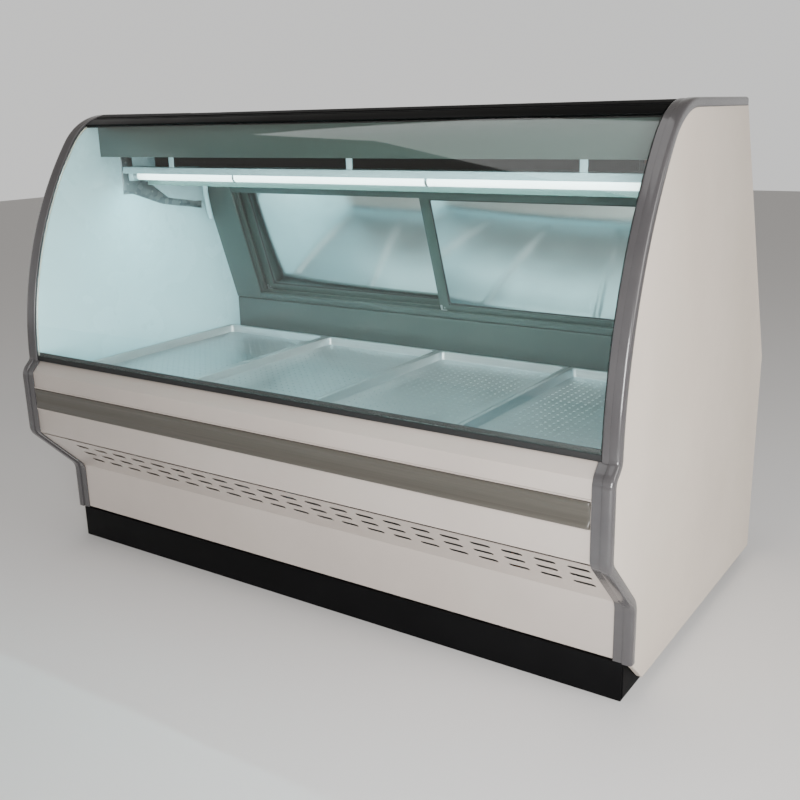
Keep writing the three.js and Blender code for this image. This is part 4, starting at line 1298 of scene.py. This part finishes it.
make("compressor_shell", "black_paint", compressor, replaces=("compressor",), angle=40)
make("compressor_terminal_cover", "black_plastic", terminal_cover, bevel=4)


def fan(bm):
    centre = at(370, 137, 242)
    add_turned(bm, [(1, -12), (18, -12), (23, -9), (24, -6), (24, 11), (1, 12)], centre, "y", 28)
    for k in range(4):
        rings = []
        for j in range(7):
            radius = 20 + 83 * j / 6
            pitch, chord, lean = math.radians(38 - 20 * j / 6), 24 + 34 * min(1, j / 4), 8 * j / 6
            section = []
            for t, camber, skin_side in ((-1, 0, 0), (-0.5, 1, 0), (0, 1.4, 0), (0.5, 1, 0), (1, 0, 0),
                                         (0.5, 1, 1), (0, 1.4, 1), (-0.5, 1, 1)):
                across, depth_now = t * chord / 2 + lean, camber * 2.2 + skin_side * 1.2
                section.append((across * math.cos(pitch) - depth_now * math.sin(pitch),
                                across * math.sin(pitch) * 0.55 + depth_now * math.cos(pitch)))
            sine, cosine = turn(90 * k)
            rings.append([centre + Vector((radius * cosine - a * sine, min(max(d, -12.5), 12.5),
                                           radius * sine + a * cosine)) * MM
                          for a, d in section])
        add_rings(bm, rings)


make("twisted_fan_blade", "zinc_sheet", fan, body="fan", replaces=("fan_blade",), angle=45)


def guard(bm):
    centre = Vector((370, 152, 242))
    for radius in (52, 72, 92, 112):
        ring = [at(centre.x + radius * turn(a)[1], centre.y,
                   centre.z + radius * turn(a)[0]) for a in range(0, 361, 10)]
        add_tube(bm, ring, 1.3, 6)
    for k in range(8):
        sine, cosine = turn(22.5 + 45 * k)
        add_tube(bm, [at(centre.x + r * cosine, y, centre.z + r * sine)
                      for r, y in ((48, 153), (112, 153), (119, 149), (119, 129))], 1.3, 6)


make("fan_wire_guard", "zinc_sheet", guard, angle=60)


def box_cover(bm):
    add_box(bm, -868.5, -691.5, 840.3, 841.8, DECK, DECK + 205)


make("electrical_box_cover", "zinc_sheet", box_cover, bevel=0.4)
screws("electrical_cover_screws", [(at(x, 841.8, z), outwards) for x in (-858, -702) for z in (116, 296)],
       3.4, seed=5)
print("compressor and fan shaped")

# %% [markdown]
# ## Fixings inside the case
# The liner brackets, lamp trough and visor are held by small screws. They are set with the same tree, facing
# whichever way their sheet faces.

# %% Set the inside screws
inside = []
for side in (-1, 1):
    for depth, height in ((300, 1250), (300, 1180), (302, 1112), (400, 1082), (520, 1038)):
        inside.append((at(side * (BODY_HALF - 5), depth, height), Vector((-side, 0, 0))))
screws("bracket_screws", inside, 3.6, "stainless", seed=11)
down = Vector((0, 0, -1))
screws("lamp_trough_screws", [(at(x, 268, 1166), down) for x in (-660, 15, 690)], 3.0, "stainless", seed=12)
print("inside screws", len(inside) + 3)

# %% [markdown]
# ## Camera, floor and light
# A normal lens looks slightly down on the case from its right front corner. The floor is plain and pale. One soft
# light stands low in front, so that it reaches in under the nose. A second fills the right end and a third washes the
# top. The case's own lamp is helped by a slim light along the tube, because a glowing mesh alone lights its
# surroundings noisily.

# %% Place the camera, the floor and the lights
camera = bpy.data.cameras.new("camera")
camera.lens, camera.sensor_width = 44.93, 36
camera_object = bpy.data.objects.new("camera", camera)
bpy.context.scene.collection.objects.link(camera_object)
yaw, pitch, roll = (math.radians(a) for a in (34.481, 16.071, -1.472))
forwards = Vector((-math.sin(yaw) * math.cos(pitch), math.cos(yaw) * math.cos(pitch), -math.sin(pitch)))
level = Vector((math.cos(yaw), math.sin(yaw), 0))
upright = level.cross(forwards)
right = level * math.cos(roll) + upright * math.sin(roll)
above = upright * math.cos(roll) - level * math.sin(roll)
view_turn = Matrix((right, above, -forwards)).transposed().to_4x4()
camera_object.matrix_world = Matrix.Translation((1.6629, -2.3245, 1.3139)) @ view_turn
bpy.context.scene.camera = camera_object

floor_bm = bmesh.new()
bmesh.ops.create_grid(floor_bm, x_segments=1, y_segments=1, size=14)
floor_mesh = bpy.data.meshes.new("floor")
floor_bm.to_mesh(floor_mesh)
floor_bm.free()
floor = bpy.data.objects.new("floor", floor_mesh)
bpy.context.scene.collection.objects.link(floor)
floor_paint = bpy.data.materials.new("floor_paint")
floor_paint.use_nodes = True
floor_paint.node_tree.nodes["Principled BSDF"].inputs["Base Color"].default_value = colour(240, 240, 240)
floor_paint.node_tree.nodes["Principled BSDF"].inputs["Roughness"].default_value = 0.9
floor_mesh.materials.append(floor_paint)

world = bpy.data.worlds.new("studio")
world.use_nodes = True
sky = world.node_tree
height_above = add_node(sky, "ShaderNodeSeparateXYZ",
                        links={0: sky.nodes.new("ShaderNodeTexCoord").outputs["Generated"]})
rise = stretch(sky, height_above.outputs["Z"], 0.1, 0.6)
sky_colour = blend_colours(sky, rise, (1.0, 0.995, 0.985, 1), (0.33, 0.31, 0.29, 1))
sky.links.new(sky_colour, sky.nodes["Background"].inputs["Color"])
sky.nodes["Background"].inputs["Strength"].default_value = 0.85
bpy.context.scene.world = world


def soft_light(name, place, target, width, height, power, tint=(1, 1, 1)):
    light = bpy.data.lights.new(name, "AREA")
    light.shape, light.size, light.size_y = "RECTANGLE", width, height
    light.energy, light.color = power, tint
    holder = bpy.data.objects.new(name, light)
    bpy.context.scene.collection.objects.link(holder)
    holder.location = place
    holder.rotation_euler = (Vector(target) - Vector(place)).to_track_quat("-Z", "Y").to_euler()
    return holder


soft_light("front_softbox", (2.2, -2.7, 1.0), (0.6, 0, 0.55), 1.1, 1.0, 105)
soft_light("right_softbox", (4.2, -0.2, 1.8), (0.9, 0.2, 0.6), 2.0, 1.8, 58, (1, 0.97, 0.94))
soft_light("top_softbox", (-0.5, -0.6, 3.8), (0, 0, 0.8), 3.0, 2.0, 25)
soft_light("case_lamp_help", at(0, LAMP_DEPTH - 2, LAMP_HEIGHT - 17), at(0, 420, 600), 1.66, 0.02, 8,
           (0.62, 1, 1.05))
print("camera", [round(c, 3) for c in camera_object.location])
